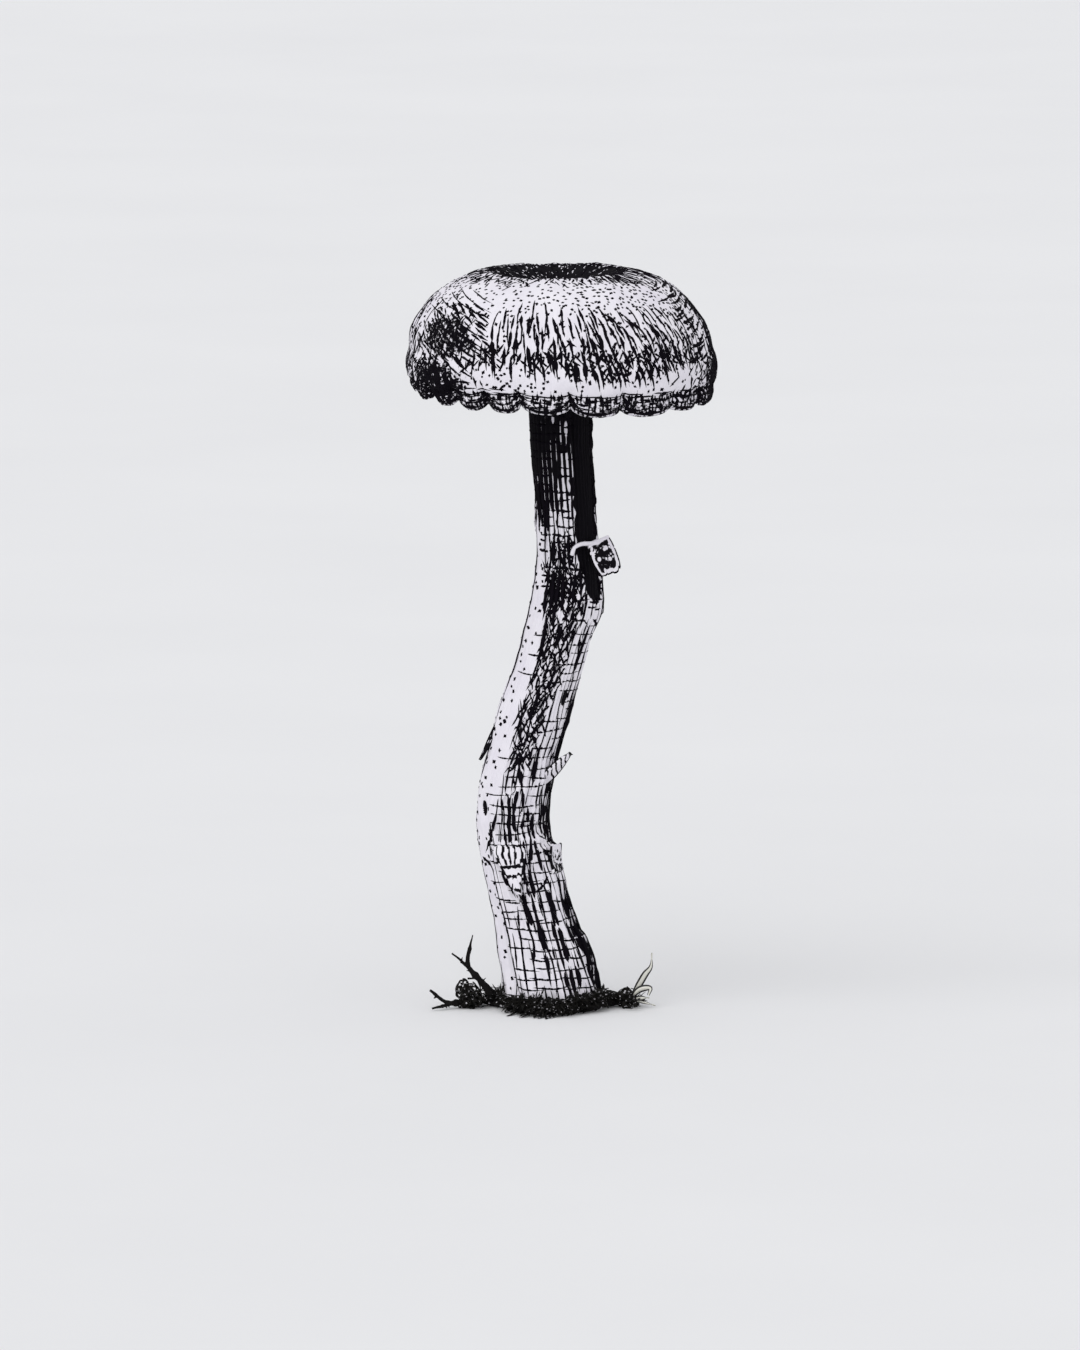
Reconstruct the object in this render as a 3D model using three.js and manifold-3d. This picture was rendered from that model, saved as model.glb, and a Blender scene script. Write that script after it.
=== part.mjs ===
// An amethyst deceiver, Laccaria amethystina, lifted with the small clod of litter and soil at its foot.
// Millimetres, +Z up. The origin is the centre of the clod's flat underside, below the stem's foot.
// -Y is the front, the side that shows the bend of the stem, and +X is to its right.
import * as THREE from "three";
import { mergeVertices } from "three/addons/utils/BufferGeometryUtils.js";
import Module from "manifold-3d";

const wasm = await Module();
wasm.setup();

// ---- Driving dimensions -------------------------------------------------------------------------------------

const GAP = 0.3; // clearance kept between neighbouring pieces

const CAP_RADIUS = 18;
const CAP_AXIS_X = 1; // the cap sits a little to the right of the foot
const CAP_WIDEST_Z = 76.2;
const CAP_DOME_HEIGHT = 11.2; // from the widest level up to the crown's lip
const CROWN_RADIUS = 8.6; // the sunken middle of the cap
const CROWN_DEPTH = 2.6;
const MARGIN_Z = 72; // mean level of the lobes' lowest points
const MARGIN_SAG = 0.8; // how much lower the margin hangs at the front right, and higher across from there
const MARGIN_SAG_DEG = 50; // where it hangs lowest, to the right of the front
const LOBE_DEPTH = 1.3; // from a lobe's lowest point up to the notch beside it
const CAP_SEGMENTS = 80;

const GILL_PAIRS = 20; // full-length gills, each with a short one beside it
const GILL_THICKNESS = 0.7;
const GILL_INNER = 5.4; // radius where full-length gills end beside the stem
const GILL_SHORT_INNER = 10.5;
const GILL_OUTER = 15.5;
const GILL_EDGE_Z = 74.9; // a full gill's lower edge beside the stem
const GILL_EDGE_OUTER_Z = 74; // and beside the margin
const GILL_BED = 0.8; // thickness of the flesh that the gills hang from

const FOOT_Z = 0.9;
const STEM_TOP_Z = 80.2;
const STEM_SIDES = 24;
const STEM_STEPS = 30;

const CLOD_RADIUS = 7.9;
const CLOD_HEIGHT = 1.9; // beside the stem's foot
const CLOD_FLOOR = 0.6; // soil left under the foot
const CLOD_SPREAD = 1; // how much further it reaches at the front left
const CLOD_SEGMENTS = 40;

const FRONT = -Math.PI / 2; // azimuth of -Y
const GRAIN = 1e-4; // vertices this close are one

// The stem at each height: [z, centre x, centre y, radius]. It leans left to a knee, then right to the cap.
const STEM_STATIONS = [
  [0.9, 0.0, 0.0, 6.1],
  [3.3, -0.4, 0.1, 5.85],
  [8.0, -1.4, 0.3, 5.25],
  [12.8, -2.7, 0.6, 4.8],
  [17.5, -4.0, 0.9, 4.5],
  [22.2, -4.75, 1.1, 4.3],
  [27.0, -4.1, 1.0, 4.2],
  [34.0, -2.45, 0.6, 4.3],
  [38.7, -1.0, 0.2, 4.15],
  [43.4, 0.35, -0.2, 4.1],
  [48.2, 1.5, -0.5, 4.15],
  [52.9, 1.75, -0.6, 3.75],
  [59.0, 1.5, -0.5, 3.62],
  [68.0, 0.95, -0.2, 3.75],
  [76.0, 0.95, 0.0, 4.3],
  [80.2, 1.0, 0.0, 4.9],
];

// Where the margin is notched between two lobes: degrees to the right of the front, seen from above.
const NOTCHES_DEG = [
  -77, -62, -48, -32, -16, 4, 25, 49, 63, 82, 100, 121, 139, 158, 177, 196, 213, 232, 250, 267,
];

// ---- Materials ----------------------------------------------------------------------------------------------

const finish = (color, roughness) => new THREE.MeshStandardMaterial({ color, roughness, metalness: 0 });
const capSkin = finish("#bcb2c6", 0.7);
const gillFlesh = finish("#6a4a86", 0.75);
const stemFibre = finish("#c9c1cf", 0.8);
const tornSkin = finish("#d8d2da", 0.85);
const soil = finish("#2b2420", 0.95);
const twigBark = finish("#3a3029", 0.9);
const litter = finish("#3f3a2c", 0.95);
const grassBlade = finish("#8d8f6c", 0.7);

// ---- Shaping helpers ----------------------------------------------------------------------------------------

/** A smooth function through rows of [position, ...values]. */
function through(rows) {
  const size = rows[0].length - 1;
  const positions = rows.map((row) => row[0]);
  const values = rows.flatMap((row) => row.slice(1));
  const curve = new THREE.CubicInterpolant(positions, values, size, new Float64Array(size));
  return (position) => Array.from(curve.evaluate(position));
}

/** Moves every vertex of a geometry by a function that changes the point it is given. */
function reshape(geometry, move) {
  const place = geometry.getAttribute("position");
  const point = new THREE.Vector3();
  for (let i = 0; i < place.count; i++) {
    point.fromBufferAttribute(place, i);
    move(point);
    place.setXYZ(i, point.x, point.y, point.z);
  }
  return geometry;
}

/** A closed body of revolution about +Z, from [radius, z] points that run up its outside. */
function turned(points, segments) {
  const profile = points.map(([radius, z]) => new THREE.Vector2(radius, z));
  return new THREE.LatheGeometry(profile, segments).rotateX(Math.PI / 2);
}

/** A tapered round rod that follows a curve. */
function bentRod(curve, startRadius, endRadius, sides = 6, steps = 6) {
  const rod = new THREE.CylinderGeometry(1, 1, 1, sides, steps).rotateX(Math.PI / 2);
  const frames = curve.computeFrenetFrames(steps);
  return reshape(rod, (p) => {
    const share = p.z + 0.5;
    const step = Math.round(share * steps);
    const radius = THREE.MathUtils.lerp(startRadius, endRadius, share);
    const across = frames.normals[step].clone().multiplyScalar(p.x * radius);
    const along = frames.binormals[step].clone().multiplyScalar(p.y * radius);
    p.copy(curve.getPointAt(share)).add(across).add(along);
  });
}

const bareGeometry = (geometry) => {
  const bare = geometry.clone();
  bare.deleteAttribute("normal");
  bare.deleteAttribute("uv");
  return mergeVertices(bare, GRAIN);
};

const solidOf = (geometry) => {
  const merged = bareGeometry(geometry);
  const vertProperties = merged.getAttribute("position").array;
  const triVerts = new Uint32Array(merged.index.array);
  return new wasm.Manifold(new wasm.Mesh({ numProp: 3, vertProperties, triVerts }));
};

/** One closed geometry from several that overlap. */
function joined(geometries) {
  const whole = geometries.map(solidOf).reduce((sum, next) => sum.add(next));
  const { vertProperties, triVerts } = whole.getMesh();
  const geometry = new THREE.BufferGeometry();
  geometry.setAttribute("position", new THREE.BufferAttribute(vertProperties, 3));
  return geometry.setIndex(new THREE.BufferAttribute(triVerts, 1));
}

function piece(name, geometry, material) {
  const mesh = new THREE.Mesh(geometry, material);
  mesh.name = name;
  return mesh;
}

// ---- Stem ---------------------------------------------------------------------------------------------------

const stemLine = through(STEM_STATIONS);

function stemGeometry() {
  const stem = new THREE.CylinderGeometry(1, 1, 1, STEM_SIDES, STEM_STEPS).rotateX(Math.PI / 2);
  return reshape(stem, (p) => {
    const z = THREE.MathUtils.lerp(FOOT_Z, STEM_TOP_Z, p.z + 0.5);
    const [x, y, radius] = stemLine(z);
    p.set(x + p.x * radius, y + p.y * radius, z);
  });
}

// ---- Skin that has torn and curled away from the stem -------------------------------------------------------

/**
 * A curled scale of torn skin. It is joined to the stem at its hinge height. Its free end is a length away,
 * downwards or, with up set, upwards, and stands off from the stem. Degrees are counted to the right of the
 * front. Narrowing is the share of its width that it loses by its free end.
 */
function tornScale(form) {
  const { degrees, hingeZ, length, width, standOff, up = false, thickness = 0.45, narrowing = 0.25 } = form;
  const steps = 6;
  const way = up ? 1 : -1;
  const [centreX, centreY, radius] = stemLine(hingeZ);
  const azimuth = FRONT + THREE.MathUtils.degToRad(degrees);
  const outline = [];
  for (let i = 0; i <= steps; i++) {
    const share = i / steps;
    const [x, y, here] = stemLine(hingeZ + way * length * share);
    // The scale follows the stem's own surface, which moves out or in away from the hinge, and curls off it.
    const drift = (x - centreX) * Math.cos(azimuth) + (y - centreY) * Math.sin(azimuth) + here - radius;
    const out = drift + standOff * share * share;
    outline.push(new THREE.Vector2(out, way * length * share));
  }
  const back = outline.map((p) => new THREE.Vector2(p.x + thickness, p.y)).reverse();
  const shape = new THREE.Shape([...outline, ...back]);
  const scale = new THREE.ExtrudeGeometry(shape, { depth: width, steps: 4, bevelEnabled: false });
  // Across its width the scale wraps the stem.
  reshape(scale, (p) => {
    const side = 0.5 - p.z / width;
    const share = Math.abs(p.y) / length;
    const across = side * width * (1 - narrowing * share);
    const angle = across / (radius + GAP);
    const reach = radius + GAP + p.x;
    p.set(reach * Math.cos(azimuth + angle), reach * Math.sin(azimuth + angle), hingeZ + p.y);
  });
  return scale.translate(centreX, centreY, 0);
}

// ---- Cap ----------------------------------------------------------------------------------------------------

/** How far a lobe hangs, from 0 in a notch to 1 at the lobe's middle. */
function lobeShare(azimuth) {
  const first = NOTCHES_DEG[0];
  const fromFront = THREE.MathUtils.radToDeg(azimuth - FRONT);
  const degrees = first + THREE.MathUtils.euclideanModulo(fromFront - first, 360);
  const after = NOTCHES_DEG.findIndex((notch) => notch > degrees);
  const start = after < 0 ? NOTCHES_DEG.at(-1) : NOTCHES_DEG[after - 1];
  const end = after < 0 ? first + 360 : NOTCHES_DEG[after];
  const across = (2 * (degrees - start)) / (end - start) - 1;
  return Math.sqrt(1 - across * across);
}

/** Height of the cap's upper skin at a radius: a flat-topped dome with a sunken crown. */
function capTop(radius) {
  const dome = Math.sqrt(Math.max(1 - (radius / CAP_RADIUS) ** 3.2, 0));
  const sunk = Math.max(1 - (radius / CROWN_RADIUS) ** 2, 0) ** 1.5;
  return CAP_WIDEST_Z + CAP_DOME_HEIGHT * dome - CROWN_DEPTH * sunk;
}

// The underside of the flesh, from its middle over the stem out to the thin margin: [radius, z].
const CAP_UNDERSIDE = [
  [0, STEM_TOP_Z + GAP],
  [5.4, STEM_TOP_Z + GAP],
  [8, 81.6],
  [11, 81.9],
  [14, 80.3],
  [16.2, 77.2],
  [16.5, 74.6],
  [16.0, MARGIN_Z + 0.4],
];

/** The margin's lowest edge and the tucked-in skin above it: [radius, z], running up the outside. */
const CAP_MARGIN = [
  [16.4, MARGIN_Z],
  [17.0, MARGIN_Z + 0.3],
  [17.5, MARGIN_Z + 1.8],
  [17.85, MARGIN_Z + 3.2],
];

function capGeometry() {
  const rings = [18, 17.94, 17.7, 17.2, 16.4, 15.2, 13.6, 11.5, 9.4, 7.6, 6, 4, 2, 0];
  const upper = rings.map((radius) => [radius, capTop(radius)]);
  const cap = turned([...CAP_UNDERSIDE, ...CAP_MARGIN, ...upper], CAP_SEGMENTS);
  return reshape(cap, (p) => {
    const azimuth = Math.atan2(p.y, p.x);
    const isMargin = Math.hypot(p.x, p.y) > GILL_OUTER;
    const share = isMargin ? 1 - THREE.MathUtils.smoothstep(p.z, MARGIN_Z, MARGIN_Z + 3) : 0;
    const sag = MARGIN_SAG * Math.cos(azimuth - FRONT - THREE.MathUtils.degToRad(MARGIN_SAG_DEG));
    p.z += share * (LOBE_DEPTH * (1 - lobeShare(azimuth)) - sag);
  }).translate(CAP_AXIS_X, 0, 0);
}

// ---- Gills --------------------------------------------------------------------------------------------------

const BED_OUTER = 14; // beyond this radius the cap's underside turns down towards the margin
const MARGIN_FALL = 1.5; // and there a gill's upper edge falls this much per millimetre
const underside = through(CAP_UNDERSIDE.filter(([radius]) => radius > 0 && radius <= BED_OUTER));

/** One upright plate from an inner radius out to the margin. Its upper edge lies inside the bed. */
function gillPlate(innerRadius, innerEdgeZ) {
  const steps = 5;
  const upper = [];
  for (let i = 0; i <= steps; i++) {
    const radius = THREE.MathUtils.lerp(innerRadius, GILL_OUTER, i / steps);
    const fall = Math.max(radius - BED_OUTER, 0) * MARGIN_FALL;
    upper.push(new THREE.Vector2(radius, underside(Math.min(radius, BED_OUTER))[0] - fall - 2 * GAP));
  }
  const lower = [
    new THREE.Vector2(GILL_OUTER, GILL_EDGE_OUTER_Z + 0.6),
    new THREE.Vector2(GILL_OUTER - 1, GILL_EDGE_OUTER_Z),
    new THREE.Vector2(innerRadius + 1, innerEdgeZ),
    new THREE.Vector2(innerRadius, innerEdgeZ + 0.5),
  ];
  const plate = new THREE.ExtrudeGeometry(new THREE.Shape([...upper, ...lower]), {
    depth: GILL_THICKNESS,
    bevelEnabled: false,
  });
  return plate.translate(0, 0, -GILL_THICKNESS / 2).rotateX(Math.PI / 2);
}

/** The thin layer of flesh that every gill hangs from, just under the cap. */
function gillBed() {
  const radii = [GILL_INNER, 8, 11, BED_OUTER];
  const lower = radii.map((radius) => [radius, underside(radius)[0] - GAP - GILL_BED]);
  const upper = radii.map((radius) => [radius, underside(radius)[0] - GAP]).reverse();
  return turned([...lower, ...upper, lower[0]], 2 * GILL_PAIRS);
}

function gillsGeometry() {
  const plates = [gillBed()];
  for (let i = 0; i < GILL_PAIRS; i++) {
    const turn = (i / GILL_PAIRS) * 2 * Math.PI;
    plates.push(gillPlate(GILL_INNER, GILL_EDGE_Z).rotateZ(turn));
    plates.push(gillPlate(GILL_SHORT_INNER, GILL_EDGE_Z + 2).rotateZ(turn + Math.PI / GILL_PAIRS));
  }
  return joined(plates).translate(CAP_AXIS_X, 0, 0);
}

// ---- Clod, litter, twigs and grass at the foot --------------------------------------------------------------

function clodGeometry() {
  const socket = STEM_STATIONS[0][3] + GAP;
  const clod = turned(
    [
      [0, 0],
      [CLOD_RADIUS - 0.6, 0],
      [CLOD_RADIUS, 0.4],
      [CLOD_RADIUS - 0.3, 1.1],
      [socket + 0.7, CLOD_HEIGHT],
      [socket, CLOD_HEIGHT - 0.2],
      [socket, CLOD_FLOOR],
      [0, CLOD_FLOOR],
    ],
    CLOD_SEGMENTS,
  );
  // It spreads most to the front left, and its edge is ragged.
  return reshape(clod, (p) => {
    const azimuth = Math.atan2(p.y, p.x);
    const radius = Math.hypot(p.x, p.y);
    const outer = THREE.MathUtils.smoothstep(radius, socket, CLOD_RADIUS - 0.3);
    const ragged = 0.25 * Math.sin(9 * azimuth) + 0.15 * Math.cos(17 * azimuth);
    const spread = CLOD_SPREAD * Math.cos(azimuth - FRONT + 0.3) + ragged;
    const grown = radius > 0 ? (radius + outer * spread) / radius : 1;
    p.set(p.x * grown, p.y * grown, p.z);
  });
}

/** A low lump of matted litter with a flat foot. */
function litterLump(x, y, halfWidth, halfDepth, height) {
  const lump = new THREE.SphereGeometry(1, 12, 8).rotateX(Math.PI / 2);
  return reshape(lump, (p) => {
    const knobs = 1 + 0.08 * Math.sin(5 * p.x + 3 * p.y) * Math.cos(4 * p.y - 2 * p.z);
    const z = Math.max((p.z + 0.4) / 1.4, 0) * height;
    p.set(x + p.x * halfWidth * knobs, y + p.y * halfDepth * knobs, z);
  });
}

const line = (...points) => new THREE.CatmullRomCurve3(points.map((p) => new THREE.Vector3(...p)));

function lowTwigGeometry() {
  return joined([
    bentRod(line([-11.4, -2.2, 0.75], [-12.2, -2.0, 0.8], [-12.9, -1.8, 1.1], [-14.4, -1.3, 2.1]), 0.34, 0.16),
    bentRod(line([-11.9, -2.0, 0.75], [-12.8, -2.5, 0.55], [-14.1, -3.4, 0.35]), 0.28, 0.13),
  ]);
}

function highTwigGeometry() {
  return joined([
    bentRod(line([-6.9, -1.6, 3.0], [-8.6, -1.5, 3.9], [-10.3, -1.2, 5.0], [-11.7, -1.0, 6.3]), 0.45, 0.12),
    bentRod(line([-10.1, -1.25, 4.8], [-10.2, -1.1, 6.2], [-9.5, -0.9, 8.5]), 0.32, 0.1),
  ]);
}

function grassGeometry() {
  return joined([
    bentRod(line([9.9, -0.4, 1.0], [10.1, -0.4, 2.3], [11.1, -0.6, 3.9], [11.6, -0.7, 6.1]), 0.42, 0.13),
    bentRod(line([9.9, -0.4, 1.1], [10.7, -0.9, 1.9], [11.6, -1.3, 2.5]), 0.45, 0.14),
    bentRod(line([9.85, -0.4, 0.75], [10.9, -0.8, 0.7], [11.9, -1.4, 0.6]), 0.4, 0.12),
  ]);
}

// ---- The whole ----------------------------------------------------------------------------------------------

const mushroom = new THREE.Group();
mushroom.add(
  piece("cap", capGeometry(), capSkin),
  piece("gills", gillsGeometry(), gillFlesh),
  piece("stem", stemGeometry(), stemFibre),
  piece("clod", clodGeometry(), soil),
  piece("litter_left", litterLump(-9.7, -0.2, 1.1, 2.2, 2.6), litter),
  piece("litter_right", litterLump(8.8, -0.3, 0.9, 1.8, 2), litter),
  piece("twig_low", lowTwigGeometry(), twigBark),
  piece("twig_high", highTwigGeometry(), twigBark),
  piece("grass_blades", grassGeometry(), grassBlade),
);

const TORN_SCALES = {
  torn_flap: { degrees: 52, hingeZ: 55.4, length: 3.6, width: 4.2, standOff: 1.8 },
  scale_left: { degrees: -84, hingeZ: 33, length: 3.4, width: 1, standOff: 0.5, thickness: 0.3 },
  scale_right: { degrees: 76, hingeZ: 26.2, length: 4, width: 1.8, standOff: 1, up: true },
  scale_low_right: { degrees: 62, hingeZ: 15.6, length: 3.8, width: 3.4, standOff: 0.3, up: true },
  tongue_front: { degrees: 0, hingeZ: 19.6, length: 5.6, width: 3.4, standOff: 0.2, narrowing: 0.85 },
};
for (const [name, form] of Object.entries(TORN_SCALES)) {
  mushroom.add(piece(name, tornScale(form), tornSkin));
}

export default mushroom;
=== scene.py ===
"""An amethyst deceiver mushroom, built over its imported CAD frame.

Shapes are worked out in millimetres and turned into metres when a mesh is made. Round pieces are
described by their turn, the angle in degrees to the right of the front (-Y), and by their height z.
"""

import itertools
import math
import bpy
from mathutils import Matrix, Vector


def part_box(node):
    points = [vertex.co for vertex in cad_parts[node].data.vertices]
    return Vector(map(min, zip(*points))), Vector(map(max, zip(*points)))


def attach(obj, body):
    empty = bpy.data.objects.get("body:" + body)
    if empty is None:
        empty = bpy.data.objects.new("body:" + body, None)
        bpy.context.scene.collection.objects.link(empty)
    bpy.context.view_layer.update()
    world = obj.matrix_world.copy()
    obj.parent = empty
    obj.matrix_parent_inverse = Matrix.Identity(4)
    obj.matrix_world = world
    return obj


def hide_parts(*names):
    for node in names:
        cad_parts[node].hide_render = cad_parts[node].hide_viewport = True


bl_info = {
    "name": "Amethyst Deceiver",
    "version": (1, 0, 0),
    "blender": (4, 5, 0),
    "location": "View3D > Sidebar > Mushroom",
    "description": "Builds an amethyst deceiver with its torn stem and a clod of litter",
    "category": "Add Mesh",
}

import bpy
import numpy as np
from mathutils import Vector

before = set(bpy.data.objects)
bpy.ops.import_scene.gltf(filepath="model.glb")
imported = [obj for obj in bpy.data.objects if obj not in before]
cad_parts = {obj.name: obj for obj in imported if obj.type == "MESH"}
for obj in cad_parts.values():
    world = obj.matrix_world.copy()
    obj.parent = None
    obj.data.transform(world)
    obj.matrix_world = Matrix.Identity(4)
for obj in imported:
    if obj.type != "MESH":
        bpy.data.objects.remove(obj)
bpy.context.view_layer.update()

MM = 0.001
BODY = "root"
FRONT = np.array([0, -1.0, 0])
UP = np.array([0.0, 0.0, 1.0])


# ---- Smooth functions and noise ------------------------------------------------------------------


def ramp(x, start, end):
    """Rises smoothly from 0 at start to 1 at end; start may be the larger."""
    t = np.clip((x - start) / (end - start), 0, 1)
    return t * t * (3 - 2 * t)


def hump(x, centre, width):
    """1 at the centre, fading to about a third at one width away."""
    return np.exp(-(((x - centre) / width) ** 2))


def turned_by(turn, centre):
    """Degrees from a centre direction, between -180 and 180."""
    return (turn - centre + 180) % 360 - 180


def patch(turn, z, at, size):
    """A soft spot on a round surface; at is its turn and height, size its half width in degrees and mm."""
    return hump(turned_by(turn, at[0]), 0, size[0]) * hump(z, at[1], size[1])


LATTICE_SIZE = 32
LATTICE = np.random.default_rng(11).random((LATTICE_SIZE,) * 3) * 2 - 1


def noise(points, lump, seed=0):
    """Smooth noise from -1 to 1 at points in mm; lump is its lumps' width, or one width per axis."""
    q = points / np.asarray(lump, float) + seed * 7.31
    cell = np.floor(q).astype(int)
    part = q - cell
    part = part * part * (3 - 2 * part)
    total = np.zeros(points.shape[:-1])
    for corner in itertools.product((0, 1), repeat=3):
        weight = np.prod(np.where(np.array(corner) == 1, part, 1 - part), axis=-1)
        x, y, z = np.moveaxis((cell + corner) % LATTICE_SIZE, -1, 0)
        total += weight * LATTICE[x, y, z]
    return total


def catmull(points, samples):
    """Points along a smooth curve through a few given ones."""
    p = np.asarray(points, float)
    p = np.vstack([2 * p[0] - p[1], p, 2 * p[-1] - p[-2]])
    at = np.linspace(0, len(p) - 3, samples)
    i = np.minimum(at.astype(int), len(p) - 4)
    t = (at - i)[:, None]
    a, b, c, d = p[i], p[i + 1], p[i + 2], p[i + 3]
    return b + 0.5 * t * (c - a + t * (2 * a - 5 * b + 4 * c - d + t * (3 * (b - c) + d - a)))


def evenly(points, samples):
    """The same line with its points evenly spaced along it."""
    steps = np.linalg.norm(np.diff(points, axis=0), axis=1)
    along = np.concatenate([[0], np.cumsum(steps)])
    at = np.linspace(0, along[-1], samples)
    return np.stack([np.interp(at, along, column) for column in points.T], axis=1)


def unit(vector):
    """The same direction, one long."""
    return vector / np.linalg.norm(vector)


# ---- Meshes --------------------------------------------------------------------------------------


def signed_volume(points, quads):
    """Six times the volume inside closed quads; negative when they face inwards."""
    a, b, c, d = (points[quads[:, i]] for i in range(4))
    return np.einsum("ij,ij->", a, np.cross(b, c)) + np.einsum("ij,ij->", a, np.cross(c, d))


def between_rings(index):
    """Quads between rings of point numbers; the last two axes are the rings and the points round each."""
    after = np.roll(index, -1, axis=-1)
    corners = [index[..., :-1, :], after[..., :-1, :], after[..., 1:, :], index[..., 1:, :]]
    return np.stack(corners, axis=-1).reshape(-1, 4)


def make_mesh(name, points, faces, fields=None):
    """A smooth mesh object from points in mm and faces, with one value per point for each named field."""
    mesh = bpy.data.meshes.new(name)
    mesh.from_pydata((points * MM).tolist(), [], faces)
    mesh.polygons.foreach_set("use_smooth", [True] * len(mesh.polygons))
    for field, values in (fields or {}).items():
        values = np.asarray(values, np.float32)
        kind, key = ("FLOAT_VECTOR", "vector") if values.ndim == 2 else ("FLOAT", "value")
        mesh.attributes.new(field, kind, "POINT").data.foreach_set(key, values.ravel())
    mesh.update()
    made = bpy.data.objects.new(name, mesh)
    bpy.context.scene.collection.objects.link(made)
    return made


def round_body(name, rings, fields):
    """A closed body from rings of points, shape (rings, columns, 3), with a point amid each end."""
    rows, columns = rings.shape[:2]
    points = np.vstack([rings.reshape(-1, 3), rings[0].mean(0), rings[-1].mean(0)])
    index = np.arange(rows * columns).reshape(rows, columns)
    quads = between_rings(index)
    start, end = rows * columns, rows * columns + 1
    first = [(start, b, a) for a, b in zip(index[0], np.roll(index[0], -1))]
    last = [(end, a, b) for a, b in zip(index[-1], np.roll(index[-1], -1))]
    faces = quads.tolist() + [list(map(int, f)) for f in first + last]
    if signed_volume(points, quads) < 0:
        faces = [face[::-1] for face in faces]
    grown = {}
    for field, values in fields.items():
        flat = values.reshape(rows * columns, -1)
        ends = [values[end].reshape(columns, -1).mean(0) for end in (0, -1)]
        grown[field] = np.vstack([flat, *ends]).squeeze()
    return make_mesh(name, points, faces, grown)


def sheet_body(front, thickness, fields):
    """Points, faces and fields of a closed sheet: a grid of front points, and a back behind them."""
    rows, columns = front.shape[:2]
    across = np.gradient(front, axis=1)
    along = np.gradient(front, axis=0)
    normal = np.cross(across, along)
    normal /= np.maximum(np.linalg.norm(normal, axis=-1, keepdims=True), 1e-9)
    back = front - normal * thickness[..., None]
    points = np.vstack([front.reshape(-1, 3), back.reshape(-1, 3)])
    index = np.arange(rows * columns).reshape(rows, columns)
    corners = [index[:-1, :-1], index[:-1, 1:], index[1:, 1:], index[1:, :-1]]
    face = np.stack(corners, axis=-1).reshape(-1, 4)
    behind = face[:, ::-1] + rows * columns
    rim = np.concatenate([index[0, :-1], index[:-1, -1], index[-1, :0:-1], index[:0:-1, 0]])
    onward = np.roll(rim, -1)
    sides = np.stack([onward, rim, rim + rows * columns, onward + rows * columns], axis=-1)
    quads = np.vstack([face, behind, sides])
    if signed_volume(points, quads) < 0:
        quads = quads[:, ::-1]
    flat = {name: values.reshape(rows * columns, -1) for name, values in fields.items()}
    return points, quads, {name: np.tile(values, (2, 1)) for name, values in flat.items()}


def tube_body(line, radii, sides, squash=1.0):
    """Points and faces of a closed tube that follows a line of points and ends in small flats."""
    line = np.asarray(line, float)
    ahead = np.gradient(line, axis=0)
    ahead /= np.linalg.norm(ahead, axis=1, keepdims=True)
    up = UP if abs(ahead[0, 2]) < 0.9 else np.array([1.0, 0.0, 0.0])
    side = np.cross(ahead, up)
    side /= np.linalg.norm(side, axis=1, keepdims=True)
    other = np.cross(side, ahead)
    angle = (np.arange(sides) / sides * 2 * np.pi)[None, :, None]
    ring = side[:, None] * np.cos(angle) + other[:, None] * squash * np.sin(angle)
    points = line[:, None] + ring * np.asarray(radii, float)[:, None, None]
    index = np.arange(len(line) * sides).reshape(len(line), sides)
    return points.reshape(-1, 3), [*between_rings(index), index[0][::-1], index[-1]]


class Heap:
    """Gathers many small closed bodies, with their fields, into one mesh."""

    def __init__(self):
        self.points, self.faces, self.fields, self.count = [], [], {}, 0

    def add(self, points, faces, fields=None):
        self.points.append(points)
        self.faces += [[int(i) + self.count for i in face] for face in faces]
        for name, values in (fields or {}).items():
            self.fields.setdefault(name, []).append(values.reshape(len(points), -1))
        self.count += len(points)

    def add_tube(self, line, radii, sides=6, squash=1.0):
        self.add(*tube_body(line, radii, sides, squash))

    def make(self, name):
        fields = {key: np.vstack(values).squeeze() for key, values in self.fields.items()}
        return make_mesh(name, np.vstack(self.points), self.faces, fields)


def settle(made, material, slot, *nodes):
    """Gives a finished piece its material and body, and hides the CAD nodes it stands for; slot is not
    used.
    """
    made.data.materials.append(material)
    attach(made, BODY)
    if nodes:
        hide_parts(*nodes)
    return made


# ---- Measures taken from the frame ---------------------------------------------------------------


def box_mm(node):
    """The low and the high corner of a CAD node's box."""
    low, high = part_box(node)
    return np.array(low) / MM, np.array(high) / MM


STEM_SIDES = 24  # points in a ring of the CAD stem


def stem_rings():
    """Height, centre and radius of each ring of the CAD stem, from the foot up."""
    points = np.array([vertex.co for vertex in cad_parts["stem"].data.vertices]) / MM
    heights = np.unique(points[:, 2].round(2))
    rows = []
    for height in heights:
        ring = points[np.abs(points[:, 2] - height) < 0.02]
        whole = len(ring) >= STEM_SIDES
        centre = (ring[:, :2].min(0) + ring[:, :2].max(0)) / 2 if whole else ring[:, :2].mean(0)
        radius = np.linalg.norm(ring[:, :2] - centre, axis=1).max()
        rows.append((height, *centre, radius))
    return np.array(rows)


STEM_RINGS = stem_rings()
CAP_LOW, CAP_HIGH = box_mm("cap")
CAP_X = (CAP_LOW[0] + CAP_HIGH[0]) / 2
CAP_R = (CAP_HIGH[0] - CAP_LOW[0]) / 2
STEM_FOOT = STEM_RINGS[0, 0]
STEM_TOP = STEM_RINGS[-1, 0]


def stem_line(z):
    """Centre x, centre y and radius of the stem at each height."""
    return [np.interp(z, STEM_RINGS[:, 0], STEM_RINGS[:, i]) for i in (1, 2, 3)]


# ---- Materials -----------------------------------------------------------------------------------


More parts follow.
